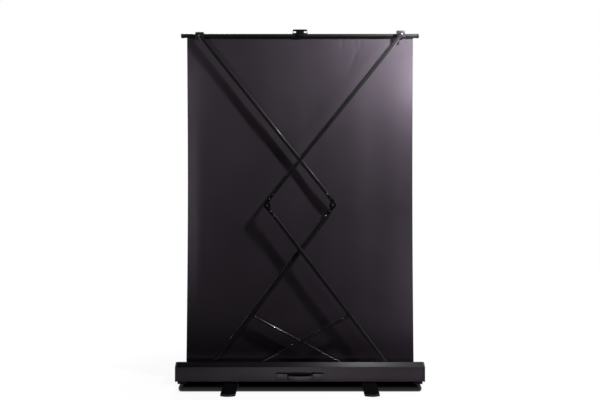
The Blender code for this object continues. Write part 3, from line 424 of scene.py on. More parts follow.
def offset_path(points, distance):
    """An open path moved to its left by a distance, with mitred corners."""
    moved = []
    for i, point in enumerate(points):
        here = Vector(point)
        sides = [(Vector(b) - Vector(a)).normalized() for a, b in zip(points, points[1:])]
        sides = sides[max(i - 1, 0):i + 1]
        normals = [Vector((-side.y, side.x)) for side in sides]
        total = normals[0] + normals[-1]
        moved.append(tuple(here + total * (2 * distance / total.length_squared)))
    return moved


path = [(-y, z) for y, z in reversed(case_side(CASE_TOP))] + case_side(CASE_TOP - FRONT_DROP)
CASE_EDGE = 0.0035
outer = [path[0]] + path[1:2] + rounded(path[1:9], CASE_EDGE, closed=False)[1:-1] + path[8:]
inner = offset_path(outer, CASE_WALL)
case_shape = prism(outer + inner[::-1], "X", -CASE_HALF, CASE_HALF)
case_profile = piece("case_profile", case_shape, "case", case_coat, ["case_housing"],
                     edge=0.0005, segments=2)
# A near black, duller copy of the coat for the case's upward faces: painted shade, where little light comes
# from above.
shoulder_painted_shade = blotchy_finish("shoulder_painted_shade", (0.003, 0.002, 0.005), (0.42, 0.44), 0.25, 4.0, DRAWN_OUT,
                               grain=(0.0012, 0.00002, 2.0), specular=0.26)


def finish_where(made, finish, chosen):
    """Gives a second finish to some of the faces."""
    made.data.materials.append(finish)
    for face in made.data.polygons:
        if chosen(face):
            face.material_index = 1


# The case's upward faces take the painted shade.
finish_where(case_profile, shoulder_painted_shade,
             lambda face: face.normal.z > 0.3 and face.center.z > CASE_BOTTOM + SHOULDER_DROP)


# Screen cloth. One coated cloth, black behind and white in front, pulled up from the roller and
# hung on the bar. Its sides draw in a little and it keeps faint upright waves and some creases.
CLOTH_HALF = 0.754
CLOTH_Y = 0.014
CLOTH_THICKNESS = 0.0004
CLOTH_LOW = 0.053
CLOTH_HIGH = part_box("screen_fabric")[1].z
CLOTH_WAIST = 0.005
CLOTH_COLUMNS = 150
CLOTH_ROWS = 180
BORDER = 0.040
TOP_BORDER = 0.160
LOW_BORDER = 0.200
CREASES_X = (0.280, 0.367, 0.407)
CREASE_REACH = 0.055
CREASE_WIDTH = 0.006
CREASE_HEIGHT = 0.0011
CREASE_MIDDLE = 0.03
CURL_SLOPE_LEFT = 0.12
CURL_SLOPE_RIGHT = 0.045


def past(value, start, softness):
    """Nothing before a start, then the way gone past it, with a soft bend between the two."""
    return softness * math.log1p(math.exp(min(60.0, (value - start) / softness)))


def cloth_swell(x, z):
    """How far the cloth stands off its flat plane."""
    v = (z - CLOTH_LOW) / (CLOTH_HIGH - CLOTH_LOW)
    u = x / CLOTH_HALF
    open_part = math.sin(math.pi * v) ** 1.5
    wave = open_part * 0.0016 * math.sin(3.3 * math.pi * u + 0.4)
    wave += open_part * 0.0006 * math.sin(7.3 * math.pi * u - 1.1 * v)
    wave += open_part * CURL_SLOPE_LEFT * past(-x, 0.676, 0.006)
    wave += open_part * CURL_SLOPE_RIGHT * past(x, 0.640, 0.015)
    ripple = 0.0003 * math.sin(37.0 * z) * math.exp(-((abs(u) - 0.93) / 0.05) ** 2) * min(1.0, 8 * (1 - v))
    crease = 0.0
    depth = CLOTH_HIGH - z
    for place in CREASES_X:
        across = math.exp(-((x - place) / CREASE_WIDTH) ** 2)
        crease += CREASE_HEIGHT * across * math.exp(-((depth - CREASE_MIDDLE) / CREASE_REACH) ** 2)
    fold_middle = 0.314 + (z - 2.02) * 0.42
    fold = 0.0012 * math.exp(-((x - fold_middle) / 0.014) ** 2) * math.exp(-((z - 2.13) / 0.09) ** 2)
    return wave + ripple + (crease + fold) * min(1.0, depth / 0.02)


shape = bmesh.new()
sheets = []
for face in (-CLOTH_THICKNESS / 2, CLOTH_THICKNESS / 2):
    grid = []
    for row in range(CLOTH_ROWS + 1):
        v = row / CLOTH_ROWS
        z = CLOTH_LOW + (CLOTH_HIGH - CLOTH_LOW) * v
        half = CLOTH_HALF - CLOTH_WAIST * math.sin(math.pi * v)
        line = []
        for column in range(CLOTH_COLUMNS + 1):
            x = half * (2 * column / CLOTH_COLUMNS - 1)
            line.append(shape.verts.new((x, CLOTH_Y + face + cloth_swell(x, z), z)))
        grid.append(line)
    sheets.append(grid)
for side, grid in enumerate(sheets):
    for a, b in zip(grid, grid[1:]):
        for i in range(CLOTH_COLUMNS):
            made_face = shape.faces.new((a[i], a[i + 1], b[i + 1], b[i]))
            made_face.material_index = side
near, far = [grid[0] + [line[-1] for line in grid[1:]] + grid[-1][-2::-1]
             + [line[0] for line in grid[-2:0:-1]] for grid in sheets]
for i in range(len(near)):
    j = (i + 1) % len(near)
    shape.faces.new((near[i], near[j], far[j], far[i]))
uv = shape.loops.layers.uv.new("cloth")
for f in shape.faces:
    for corner in f.loops:
        corner[uv].uv = (corner.vert.co.x + CLOTH_HALF, corner.vert.co.z - CLOTH_LOW)
cloth = loose_object("screen_cloth", shape)
smooth(cloth, 60)

THREAD = 0.0009
WAVE_SCALE = 0.314
SHADE_FULL_BELOW = 0.08
SHADE_GONE_ABOVE = 0.36
SHADED_GLOSS_SHARE = 0.25
CLOTH_WHITE = (0.78, 0.78, 0.77)
BORDER_BLACK = (0.015, 0.015, 0.016)


def weave(add, thread):
    """Fine over and under of threads, from the cloth's own UV map, which is in metres."""
    place = add("ShaderNodeUVMap", uv_map="cloth")
    parts = []
    for direction in ("X", "Y"):
        wave = add("ShaderNodeTexWave", place, wave_type="BANDS", bands_direction=direction,
                   named={"Scale": WAVE_SCALE / thread, "Distortion": 0.4, "Detail": 1.0})
        parts.append(wave.outputs["Fac"])
    return add("ShaderNodeMath", *parts, operation="MULTIPLY")


black_back, shader, add, link = start_finish("cloth_black_back", (0.022, 0.016, 0.023), 0.58, 0.0, 1.0)
shader.inputs["Specular Tint"].default_value = (1.0, 0.87, 1.04, 1.0)
bump(add, link, weave(add, THREAD), 0.00005, shader)
blotches = noise(add, 0.35, 3.0)
vary(add, link, blotches, 0.55, 0.61, shader.inputs["Roughness"])
tint(add, link, blotches, (0.020, 0.014, 0.021), (0.024, 0.017, 0.025), shader.inputs["Base Color"])
# Less gloss towards the bottom of the cloth: painted shade near the case.
place = add("ShaderNodeSeparateXYZ", add("ShaderNodeUVMap", uv_map="cloth"))
painted_shade_gloss = add("ShaderNodeMapRange", place.outputs["Y"], SHADE_FULL_BELOW, SHADE_GONE_ABOVE, SHADED_GLOSS_SHARE, 1.0,
             interpolation_type="SMOOTHSTEP")
link(painted_shade_gloss.outputs[0], shader.inputs["Specular IOR Level"])

white_front, shader, add, link = start_finish("cloth_white_front", CLOTH_WHITE, 0.85, 0.0, 0.2)
bump(add, link, weave(add, THREAD), 0.00003, shader)
place = add("ShaderNodeSeparateXYZ", add("ShaderNodeUVMap", uv_map="cloth"))
centred = add("ShaderNodeMath", place.outputs["X"], CLOTH_HALF, operation="SUBTRACT")
outward = add("ShaderNodeMath", centred, operation="ABSOLUTE")
side_border = add("ShaderNodeMath", outward, CLOTH_HALF - CLOTH_WAIST - BORDER, operation="GREATER_THAN")
top_border = add("ShaderNodeMath", place.outputs["Y"], CLOTH_HIGH - CLOTH_LOW - TOP_BORDER,
                 operation="GREATER_THAN")
low_border = add("ShaderNodeMath", place.outputs["Y"], LOW_BORDER, operation="LESS_THAN")
ends_border = add("ShaderNodeMath", top_border, low_border, operation="MAXIMUM")
border = add("ShaderNodeMath", side_border, ends_border, operation="MAXIMUM")
mixed = add("ShaderNodeMix", border, data_type="RGBA")
mixed.inputs[6].default_value = (*CLOTH_WHITE, 1.0)
mixed.inputs[7].default_value = (*BORDER_BLACK, 1.0)
link(mixed.outputs[2], shader.inputs["Base Color"])

cloth.data.materials.append(black_back)
cloth.data.materials.append(white_front)
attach(cloth, "case")
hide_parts("screen_fabric")
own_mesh(cloth)

# End caps. Moulded black plastic, a little larger than the case's profile, with a raised panel
# and four screws into the extrusion's ends.
cap_plastic = blotchy_finish("cap_plastic", (0.011, 0.010, 0.012), (0.40, 0.52), 0.06,
                             grain=(0.0007, 0.00005, 3.0))
screw_steel = blotchy_finish("screw_steel", (0.50, 0.50, 0.51), (0.20, 0.40), 0.002, 2.0, metallic=1.0)
black_screw = blotchy_finish("black_screw", (0.025, 0.024, 0.026), (0.28, 0.45), 0.002, 2.0, metallic=0.3)


def turned(profile, axis, sides=48, centre=(0.0, 0.0)):
    """A solid of revolution. The profile lists radius and place along the axis. It closes on the
    axis where it starts and ends at radius zero, and on itself where it does not."""
    shape = bmesh.new()
    rings = []
    for radius, along in profile:
        if radius == 0.0:
            rings.append([shape.verts.new(spread_point(axis, centre[0], centre[1], along))])
            continue
        turns = [2 * math.pi * k / sides for k in range(sides)]
        rings.append([shape.verts.new(spread_point(axis, centre[0] + radius * math.cos(t),
                                                   centre[1] + radius * math.sin(t), along))
                      for t in turns])
    closed = profile[0][0] > 0.0
    for lower, upper in zip(rings, rings[1:] + ([rings[0]] if closed else [])):
        for k in range(sides):
            n = (k + 1) % sides
            corners = [lower[k % len(lower)], lower[n % len(lower)],
                       upper[n % len(upper)], upper[k % len(upper)]]
            corners = list(dict.fromkeys(corners))
            if len(corners) > 2:
                shape.faces.new(corners)
    return shape


def start_nodes(name, inputs, output):
    """A tree of geometry nodes with named inputs, the way to add to it, and what it is given."""
    tree = bpy.data.node_groups.new(name, "GeometryNodeTree")
    for label, kind in inputs.items():
        tree.interface.new_socket(label, in_out="INPUT", socket_type=f"NodeSocket{kind}")
    tree.interface.new_socket(output, in_out="OUTPUT", socket_type="NodeSocketGeometry")
    add = start_tree(tree)[0]
    return tree, add, add("NodeGroupInput").outputs


def end_nodes(add, instances, finish):
    """Makes the instances real, gives them their finish and hands them out."""
    real = add("GeometryNodeRealizeInstances", instances)
    painted = add("GeometryNodeSetMaterial", named={"Geometry": real, "Material": finish})
    add("NodeGroupOutput", painted)


def fastener_tree():
    """Places a head on every point, turned by a seeded angle about its own axis."""
    tree, add, given = start_nodes("fasteners", {
        "Points": "Geometry", "Head": "Object", "Head Radius": "Float", "Head Height": "Float",
        "Facing": "Vector", "Seed": "Int", "Finish": "Material"}, "Heads")
    head = add("GeometryNodeObjectInfo", named={"Object": given["Head"]})
    size = add("ShaderNodeCombineXYZ", given["Head Radius"], given["Head Radius"], given["Head Height"])
    turn = add("FunctionNodeEulerToRotation", given["Facing"])
    place = add("GeometryNodeInstanceOnPoints", named={
        "Points": given["Points"], "Instance": head.outputs["Geometry"], "Rotation": turn, "Scale": size})
    angle = add("FunctionNodeRandomValue", data_type="FLOAT", named={"Seed": given["Seed"]})
    angle.inputs[3].default_value = 2 * math.pi
    spin = add("ShaderNodeCombineXYZ", 0.0, 0.0, angle.outputs[1])
    spun = add("GeometryNodeRotateInstances", named={"Instances": place, "Rotation": spin})
    end_nodes(add, spun, given["Finish"])
    return tree


def from_nodes(name, points, tree, values):
    """An object made by a tree from some points, with the tree's inputs set."""
    mesh = bpy.data.meshes.new(name)
    mesh.from_pydata(points, [], [])
    made = bpy.data.objects.new(name, mesh)
    scene.collection.objects.link(made)
    step = made.modifiers.new(tree.name, "NODES")
    step.node_group = tree
    for item in tree.interface.items_tree:
        if item.in_out == "INPUT" and item.name in values:
            step[item.identifier] = values[item.name]
    return made


FASTENERS = fastener_tree()
SCREW_HEAD = loose_object("screw_head", turned(
    [(0.0, 0.35), (0.34, 0.35), (0.42, 0.94), (0.60, 0.92), (0.82, 0.72), (0.95, 0.42), (1.0, 0.10),
     (1.0, -0.4), (0.0, -0.4)], "Z", 24))
RIVET_HEAD = loose_object("rivet_head", turned(
    [(0.0, 1.0), (0.35, 0.97), (0.65, 0.86), (0.88, 0.60), (1.0, 0.20), (1.0, -0.4), (0.0, -0.4)],
    "Z", 24))
for head_shape in (SCREW_HEAD, RIVET_HEAD):
    smooth(head_shape, 50)
TOWARDS = {"-Y": (math.pi / 2, 0.0, 0.0), "+Y": (-math.pi / 2, 0.0, 0.0),
           "+X": (0.0, math.pi / 2, 0.0), "-X": (0.0, -math.pi / 2, 0.0),
           "+Z": (0.0, 0.0, 0.0), "-Z": (math.pi, 0.0, 0.0)}


def fasteners(name, points, facing, radius, height, body, finish, head=SCREW_HEAD, seed=1,
              placing=None):
    made = from_nodes(name, points, FASTENERS, {
        "Head": head, "Head Radius": radius, "Head Height": height, "Facing": TOWARDS[facing],
        "Seed": seed, "Finish": finish})
    settle(made)
    if placing:
        made.data.transform(placing)
    dress(made, body, None)


CAP_OVERHANG = 0.001
CAP_PANEL_INSET = 0.009
CAP_PANEL_RISE = 0.0010
CAP_PANEL_DEPTH = 0.002
CAP_SCREW_OUT = 0.0635
CAP_SCREW_LOW = CASE_BOTTOM + 0.008
CAP_SCREW_DROP = 0.030
cap_corners = path[2:8]


def offset_ring(points, distance):
    """A closed outline moved outwards by a distance, with mitred corners."""
    moved = []
    for i, point in enumerate(points):
        before = (Vector(point) - Vector(points[i - 1])).normalized()
        after = (Vector(points[(i + 1) % len(points)]) - Vector(point)).normalized()
        total = Vector((before.y, -before.x)) + Vector((after.y, -after.x))
        moved.append(tuple(Vector(point) + total * (2 * distance / total.length_squared)))
    return moved


for side, name in ((-1, "left"), (1, "right")):
    low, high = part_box(f"end_cap_{name}")
    inner_x, outer_x = (low.x, high.x) if side > 0 else (high.x, low.x)
    rim = rounded(offset_ring(cap_corners, CAP_OVERHANG), 0.0042, 8)
    panel = rounded(offset_ring(cap_corners, CAP_OVERHANG - CAP_PANEL_INSET), 0.004, 8)
    step_x = outer_x - side * CAP_PANEL_RISE
    piece(f"cap_{name}", prism(rim, "X", *sorted((inner_x, step_x))), "case",
          cap_plastic, [f"end_cap_{name}"], edge=0.0024, segments=5)
    panel_shape = prism(panel, "X", *sorted((step_x - side * CAP_PANEL_DEPTH, outer_x)))
    piece(f"cap_panel_{name}", panel_shape, "case", cap_plastic, edge=0.0006)
    spots = [(-CAP_SCREW_OUT, CAP_SCREW_LOW), (-CAP_SCREW_OUT, CASE_TOP - CAP_SCREW_DROP),
             (CAP_SCREW_OUT, CAP_SCREW_LOW), (CAP_SCREW_OUT, CASE_TOP - FRONT_DROP - CAP_SCREW_DROP)]
    fasteners(f"cap_screws_{name}", [(step_x - side * 0.0004, y, z) for y, z in spots],
              "+X" if side > 0 else "-X", 0.0028, 0.0013, "case", black_screw)


# End pads. Two blocks of black rubber glued under the case's ends, with ribs that grip the floor.
rubber = blotchy_finish("rubber", (0.006, 0.006, 0.007), (0.75, 0.92), 0.03,
                        grain=(0.0006, 0.00006, 2.0), specular=0.25)


def rib_tree():
    """A row of equal ribs, from a first place and a step between them."""
    tree, add, given = start_nodes("ribs", {
        "Count": "Int", "First": "Vector", "Step": "Vector", "Rib Size": "Vector",
        "Finish": "Material"}, "Ribs")
    row = add("GeometryNodeMeshLine", mode="OFFSET", named={
        "Count": given["Count"], "Start Location": given["First"], "Offset": given["Step"]})
    rib = add("GeometryNodeMeshCube", named={"Size": given["Rib Size"]})
    place = add("GeometryNodeInstanceOnPoints", named={"Points": row, "Instance": rib})
    end_nodes(add, place, given["Finish"])
    return tree


RIBS = rib_tree()


def ribs(name, count, first, step_by, size, body):
    """A row of rubber ribs with softened edges on one of the bodies."""
    made = from_nodes(name, [], RIBS, {
        "Count": count, "First": first, "Step": step_by, "Rib Size": size, "Finish": rubber})
    round_edges(made, 0.0003, 2)
    settle(made)
    smooth(made, 35)
    dress(made, body, None)


TREAD = 0.0018
PAD_RIBS = 10
PAD_RIB_FIRST = 0.0085
PAD_RIB_STEP = 0.0110
PAD_RIB_SIZE = (0.050, 0.0060, TREAD + 0.0005)
for side, name in ((-1, "left"), (1, "right")):
    low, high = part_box(f"end_pad_{name}")
    pad = prism(rounded(rectangle(low.x, low.y, high.x, high.y), 0.006), "Z", TREAD, high.z)
    piece(f"pad_{name}", pad, "case", rubber, [f"end_pad_{name}"], edge=0.0015)
    ribs(f"pad_treads_{name}", PAD_RIBS, ((low.x + high.x) / 2, low.y + PAD_RIB_FIRST, PAD_RIB_SIZE[2] / 2),
         (0.0, PAD_RIB_STEP, 0.0), PAD_RIB_SIZE, "case")


# Bumpers. Small rubber stops on the near lip of the slot, that the folded bar comes down on.
for side, name in ((-1, "left"), (1, "right")):
    low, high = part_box(f"bumper_{name}")
    stop = prism([(low.x, low.z), (high.x, low.z), (high.x - 0.003, high.z), (low.x + 0.003, high.z)], "Y",
                 low.y, high.y)
    piece(f"stop_{name}", stop, "case", rubber, [f"bumper_{name}"], edge=0.0008)


# Feet. Flat black plastic bars with bowed tips, a ribbed rubber sole under each. They swivel on a
# bolt under the case and stand across it.
foot_plastic = blotchy_finish("foot_plastic", (0.040, 0.036, 0.042), (0.33, 0.43), 0.05,
                              grain=(0.0009, 0.00004, 3.0), specular=0.3)
# A near black matte copy of the foot plastic, for upward faces and the handle's face behind its grip:
# painted shade where little light falls.
painted_shade_black = blotchy_finish("painted_shade_black", (0.003, 0.002, 0.003), (0.45, 0.55), 0.05,
                          grain=(0.0009, 0.00004, 3.0), specular=0.06)
steel_black = blotchy_finish("black_steel", (0.010, 0.010, 0.012), (0.38, 0.52), 0.04,
                             grain=(0.0016, 0.00003, 2.0), metallic=0.1, specular=0.8)
FOOT_BULGE = 0.010
TREAD_STEP = 0.014
TREAD_MARGIN = 0.018
TREAD_WIDTH = 0.0070
TREAD_DEPTH = 0.0016


def foot_outline(middle, half_width, half_length):
    radius = (half_width ** 2 + FOOT_BULGE ** 2) / (2 * FOOT_BULGE)
    spread = math.degrees(math.asin(half_width / radius))
    tip = arc((0.0, half_length - radius), radius, 90 - spread, 90 + spread, 16)
    ring = tip + [(-x, -y) for x, y in tip]
    return [(middle + x, y) for x, y in ring]


for name in ("left", "right"):
    low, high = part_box(f"foot_{name}")
    middle, half_width, half_length = (low.x + high.x) / 2, (high.x - low.x) / 2, high.y
    sole_low, sole_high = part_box(f"foot_sole_{name}")
    bolt_low, bolt_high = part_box(f"foot_pivot_{name}")
    disc_radius = (bolt_high.x - bolt_low.x) / 2
    bar = prism(foot_outline(middle, half_width, half_length), "Z", low.z, high.z)
    inner, outer = disc_radius - 0.004, disc_radius - 0.001
    groove = turned(rectangle(inner, high.z - 0.0010, outer, high.z + 0.002), "Z", 48, (middle, 0.0))
    foot_bar = piece(f"foot_bar_{name}", bar, f"foot_{name}", foot_plastic, [f"foot_{name}"],
                     cuts=[groove], edge=0.0025, segments=4)
    # The foot's top faces take the painted shade.
    finish_where(foot_bar, painted_shade_black, lambda face: face.normal.z > 0.7)
    margin = half_width - (sole_high.x - sole_low.x) / 2
    sole = prism(foot_outline(middle, half_width - margin, sole_high.y), "Z", 0.0012, sole_high.z)
    piece(f"sole_{name}", sole, f"foot_{name}", rubber, [f"foot_sole_{name}"],
          edge=0.0005)
    treads = int(2 * (sole_high.y - TREAD_MARGIN) / TREAD_STEP) + 1
    tread_size = (2 * (half_width - margin) - 0.008, TREAD_WIDTH, TREAD_DEPTH)
    ribs(f"sole_treads_{name}", treads, (middle, -(treads - 1) * TREAD_STEP / 2, TREAD_DEPTH / 2),
         (0.0, TREAD_STEP, 0.0), tread_size, f"foot_{name}")
    washer = turned([(0.0, bolt_high.z), (outer, bolt_high.z),
                     (disc_radius, bolt_high.z - 0.0008), (disc_radius, high.z + 0.0004),
                     (0.006, high.z + 0.0004), (0.006, bolt_low.z), (0.0, bolt_low.z)], "Z", 64,
                    (middle, 0.0))
    piece(f"swivel_{name}", washer, "case", steel_black, [f"foot_pivot_{name}"])


# Carry handle. A plastic base screwed to the case's back face, with two end blocks and a bowed
# rubber grip that the fingers go behind.
handle_plastic = blotchy_finish("handle_plastic", (0.026, 0.021, 0.026), (0.40, 0.52), 0.05,
                                grain=(0.0009, 0.00005, 3.0))
low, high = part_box("carry_handle_base")
BASE_THICKNESS = 0.004
BLOCK_MARGIN = 0.003
BLOCK_LENGTH = 0.070
SCREWS_OUT = 0.138
SCREWS_HEIGHTS = (0.047, 0.071)
plate_front = high.y - BASE_THICKNESS
plate = prism(rounded(rectangle(low.x, low.z, high.x, high.z), 0.008, 8), "Y", plate_front, high.y)
blocks = []
block_inner = high.x - BLOCK_MARGIN - BLOCK_LENGTH
for side in (-1, 1):
    ends = sorted((side * block_inner, side * (high.x - BLOCK_MARGIN)))
    outline = rounded(rectangle(ends[0], low.z + BLOCK_MARGIN, ends[1], high.z - BLOCK_MARGIN), 0.007, 8)
    blocks.append(prism(outline, "Y", low.y, plate_front + 0.001))
handle_base = piece("handle_base", plate, "case", handle_plastic, ["carry_handle_base"],
                    adds=blocks, edge=0.0014)
# The base's upward faces, and its face between the blocks behind the grip, take the painted shade.
finish_where(handle_base, painted_shade_black, lambda face: face.normal.z > 0.1 or (
    face.normal.y < -0.9 and abs(face.center.x) < block_inner))
spots = [(x, low.y + 0.0002, z) for x in (-SCREWS_OUT, SCREWS_OUT) for z in SCREWS_HEIGHTS]
fasteners("handle_screws", spots, "-Y", 0.0032, 0.0012, "case", black_screw, seed=3)

grip_rubber = blotchy_finish("grip_rubber", (0.040, 0.034, 0.042), (0.44, 0.56), 0.03,
                             grain=(0.0008, 0.00005, 2.0), specular=0.6)
grip_low, grip_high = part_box("carry_handle_grip")
GRIP_THICKNESS = 0.008
grip_half = grip_high.x
seat = grip_high.y
bulge = seat - grip_low.y - GRIP_THICKNESS
steps = [math.pi * k / 32 for k in range(33)]
outside = [(-grip_half * math.cos(t), seat - GRIP_THICKNESS - bulge * math.sin(t)) for t in steps]
inside = [(-(grip_half - GRIP_THICKNESS) * math.cos(t), seat - bulge * math.sin(t)) for t in steps]
outline = [(-grip_half, seat)] + outside + [(grip_half, seat)] + inside[::-1]
handle_grip = piece("handle_grip", prism(outline, "Z", grip_low.z, grip_high.z), "case",
                    grip_rubber, ["carry_handle_grip"], edge=0.0028, segments=5, sharp=60)
# The grip's upward faces take the painted shade.
finish_where(handle_grip, painted_shade_black, lambda face: face.normal.z > 0.3)


# Roller. An aluminium tube on plastic plugs, with the last turns of the cloth wound on it. A
# spring cartridge inside it, held by a fixed shaft, winds the cloth in.
alloy = blotchy_finish("roller_alloy", (0.55, 0.555, 0.56), (0.28, 0.46), 0.004,
                       stretch=(0.05, 1.0, 1.0), metallic=1.0)
zinc = blotchy_finish("zinc_steel", (0.55, 0.55, 0.57), (0.24, 0.42), 0.006, 4.0, metallic=1.0,
                      shades=((0.46, 0.46, 0.48), (0.62, 0.62, 0.63)))

roll_low, roll_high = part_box("fabric_roll")
ROLLER_Y = (roll_low.y + roll_high.y) / 2
ROLLER_Z = (roll_low.z + roll_high.z) / 2
OUTER_TURN = (roll_high.z - roll_low.z) / 2
TURNS = 2
TURN_PITCH = 0.00042
WOUND_THICKNESS = 0.00036
TURN_STEPS = 72
spiral_out, spiral_in = [], []
for k in range(TURN_STEPS * TURNS + 1):
    turn = math.pi + 2 * math.pi * k / TURN_STEPS
    radius = OUTER_TURN - TURN_PITCH * k / TURN_STEPS
    for path_points, level in ((spiral_out, radius), (spiral_in, radius - WOUND_THICKNESS)):
        path_points.append((ROLLER_Y + level * math.cos(turn), ROLLER_Z - level * math.sin(turn)))
wound_finish = blotchy_finish("cloth_black_wound", (0.028, 0.021, 0.028), (0.46, 0.56), 0.2,
                              grain=(0.0009, 0.00004, 2.0))
piece("wound_cloth", prism(spiral_out + spiral_in[::-1], "X", roll_low.x, roll_high.x), "roller",
      wound_finish, ["fabric_roll"], sharp=50)

for name, finish in (("roller_tube", alloy), ("roller_plug_left", cap_plastic),
                     ("roller_plug_right", cap_plastic), ("roller_bracket_left", zinc),
                     ("roller_bracket_right", zinc), ("roller_shaft", zinc),
                     ("spring_cartridge", cap_plastic)):
    frame["nodes"][name].data.materials[0] = finish
FOOT_SCREW_LEVEL = CASE_BOTTOM + 0.0048
screws_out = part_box("roller_bracket_right")[1].x - 0.008
spots = [(side * screws_out, y, FOOT_SCREW_LEVEL) for side in (-1, 1) for y in (0.020, 0.048)]
fasteners("roller_bracket_screws", spots, "+Z", 0.0032, 0.0018, "case", black_screw, seed=5)


# Arms. Four satin black steel tubes of flat section, two that turn on brackets in the case and two
# that go on from them to the bar. One pair passes in front of the other.
arm_paint = blotchy_finish("arm_paint", (0.003, 0.003, 0.004), (0.48, 0.56), 0.05, 4.0,
                           grain=(0.0015, 0.00002, 2.0), coat=(0.6, 0.10), specular=0.45)
elbow_plastic = blotchy_finish("elbow_plastic", (0.004, 0.004, 0.005), (0.40, 0.52), 0.06,
                               grain=(0.0007, 0.00004, 3.0), specular=0.2)
ARM_WIDTH = 0.023
ARM_THICKNESS = 0.012
ARM_WALL = 0.0015
ARM_CORNER = 0.0026
ARM_OVERHANG = 0.015
LOWER_OFFSET = 0.0075
UPPER_OFFSET = 0.0170
DISC_RADIUS = 0.0225
RING_INNER = 0.0105
RING_OUTER = 0.0165
BLOCK_START = 0.024
BLOCK_END = 0.064
FITTING_RIVETS = (0.043, 0.082)
PLAY = 0.0003
places = {joint["name"]: Vector(joint["pos_m"]) for joint in frame["joints"] if "pos_m" in joint}


def arm_placing(start, end, offset):
    """The hand an arm leans to, its length between pivots, and the move from its flat drawing."""
    reach = Vector((end.x - start.x, end.z - start.z))
    hand = 1 if reach.x > 0 else -1
    tilt = math.atan2(reach.y, abs(reach.x)) - math.asin(offset / reach.length)
    placing = Matrix.Translation(start) @ Matrix.Rotation(-hand * tilt, 4, "Y")
    return hand, math.sqrt(reach.length ** 2 - offset ** 2), placing


def arm_section(inset, rise):
    half_y, half_z = ARM_THICKNESS / 2 - inset, ARM_WIDTH / 2 - inset
    ring = rounded(rectangle(-half_y, -half_z, half_y, half_z), ARM_CORNER - inset / 2, 5)
    return [(y, z + rise) for y, z in ring]


def arm_tube(name, body, start, end, rise, placing):
    shape = prism(arm_section(0.0, rise), "X", *sorted((start, end)), hole=arm_section(ARM_WALL, rise))
    return piece(f"{name}_tube", shape, body, arm_paint, [name], placing=placing)


def elbow_fitting(name, body, hand, pivot, away, rise, front, placing):
    """A moulded block on the tube's end, with a half thick ear and a raised ring at the pivot."""
    start, end = pivot[0] + away * BLOCK_START, pivot[0] + away * BLOCK_END
    block = prism(arm_section(-0.0003, rise), "X", *sorted((hand * start, hand * (end - away * PLAY))))
    half = ARM_THICKNESS / 2
    low, high = (-half, -PLAY) if front else (PLAY, half)
    centre = Vector((hand * pivot[0], pivot[1]))
    disc = arc(centre, DISC_RADIUS, 0.0, 360.0, 64)[:-1]
    corner = hand * (start + away * PLAY)
    outline = hull(disc + [(corner, rise + ARM_WIDTH / 2), (corner, rise - ARM_WIDTH / 2)])
    ear = prism(outline, "Y", low, high)
    face, out = (low, -1) if front else (high, 1)
    sunk, proud = face - out * 0.0008, face + out * 0.0005
    ring = turned(rectangle(RING_INNER, sunk, RING_OUTER, proud), "Y", 48, tuple(centre))
    piece(f"{name}_fitting", block, body, elbow_plastic, [name], adds=[ear, ring],
          edge=0.0009, placing=placing)
    spots = [(hand * (pivot[0] + away * s), -half - PLAY, rise) for s in FITTING_RIVETS]
    fasteners(f"{name}_rivets", spots, "-Y", 0.0034, 0.0012, body, screw_steel,
              RIVET_HEAD, placing=placing)


def hull(points):
    return [points[i] for i in convex_hull_2d([Vector(p) for p in points])]


def pin_shape(front_y, back_y, centre, shaft=0.004, head=0.007, rise=0.0014):
    """A riveted pin with a low domed head at each end."""
    dome = [(0.0, rise), (head * 0.45, rise * 0.96), (head * 0.80, rise * 0.72), (head * 0.97, rise * 0.3),
            (head, 0.0)]
    return turned([(r, front_y - h) for r, h in dome] + [(shaft, front_y), (shaft, back_y)]
                  + [(r, back_y + h) for r, h in dome[::-1]], "Y", 32, centre)


half = ARM_THICKNESS / 2
for letter in ("a", "b"):
    layer = places[f"elbow_{letter}_fold"].y
    base = places["frame_fold" if letter == "a" else "lower_arm_b_fold"]
    elbow = places[f"elbow_{letter}_fold"]
    top = places["bar_level"].copy()
    if letter == "b":
        top.x, top.y = -top.x, layer
    front = -half - PLAY
    hand, reach, placing = arm_placing(base, elbow, LOWER_OFFSET)
    body = f"lower_arm_{letter}"
    arm_tube(body, body, -hand * ARM_OVERHANG, hand * (reach - BLOCK_END), 0.0, placing)
    elbow_fitting(f"lower_elbow_{letter}", body, hand, (reach, LOWER_OFFSET), -1, 0.0, True, placing)
    piece(f"elbow_pin_{letter}", pin_shape(front, half + PLAY, (hand * reach, LOWER_OFFSET)), body,
          screw_steel, [f"elbow_rivet_{letter}"], placing=placing)
    if letter == "a":
        crossing = abs(base.x) / math.cos(math.atan2(elbow.z - base.z, elbow.x - base.x)
                                          - math.asin(LOWER_OFFSET / (elbow - base).length))
        ends = sorted((hand * (crossing - 0.015), hand * (crossing + 0.015)))
        piece("crossing_sleeve", prism(arm_section(-0.0021, 0.0), "X", *ends, hole=arm_section(-PLAY, 0.0)),
              body, cap_plastic, ["crossing_collar"], edge=0.0005, placing=placing)
    hand, reach, placing = arm_placing(elbow, top, UPPER_OFFSET)
    body = f"upper_arm_{letter}"
    arm_tube(body, body, hand * BLOCK_END, hand * (reach + ARM_OVERHANG), UPPER_OFFSET, placing)
    elbow_fitting(f"upper_elbow_{letter}", body, hand, (0.0, 0.0), 1, UPPER_OFFSET, False, placing)
    tip = reach + ARM_OVERHANG + PLAY
    stopper = prism(arm_section(0.0, UPPER_OFFSET), "X", *sorted((hand * tip, hand * (tip + 0.002))))
    piece(f"arm_end_{letter}", stopper, body, cap_plastic, [f"arm_tip_{letter}"], edge=0.0007,
          placing=placing)
    if letter == "b":
        piece("top_pin_front", pin_shape(front, half - 0.0016, (hand * reach, UPPER_OFFSET)), body,
              screw_steel, ["top_rivet_b"], placing=placing)
    else:
        low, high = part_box("top_pin_a")
        piece("top_pin_rear", pin_shape(low.y + 0.0014, high.y - 0.0014, (top.x, top.z), 0.0037), "top_bar",
              screw_steel, ["top_pin_a"])


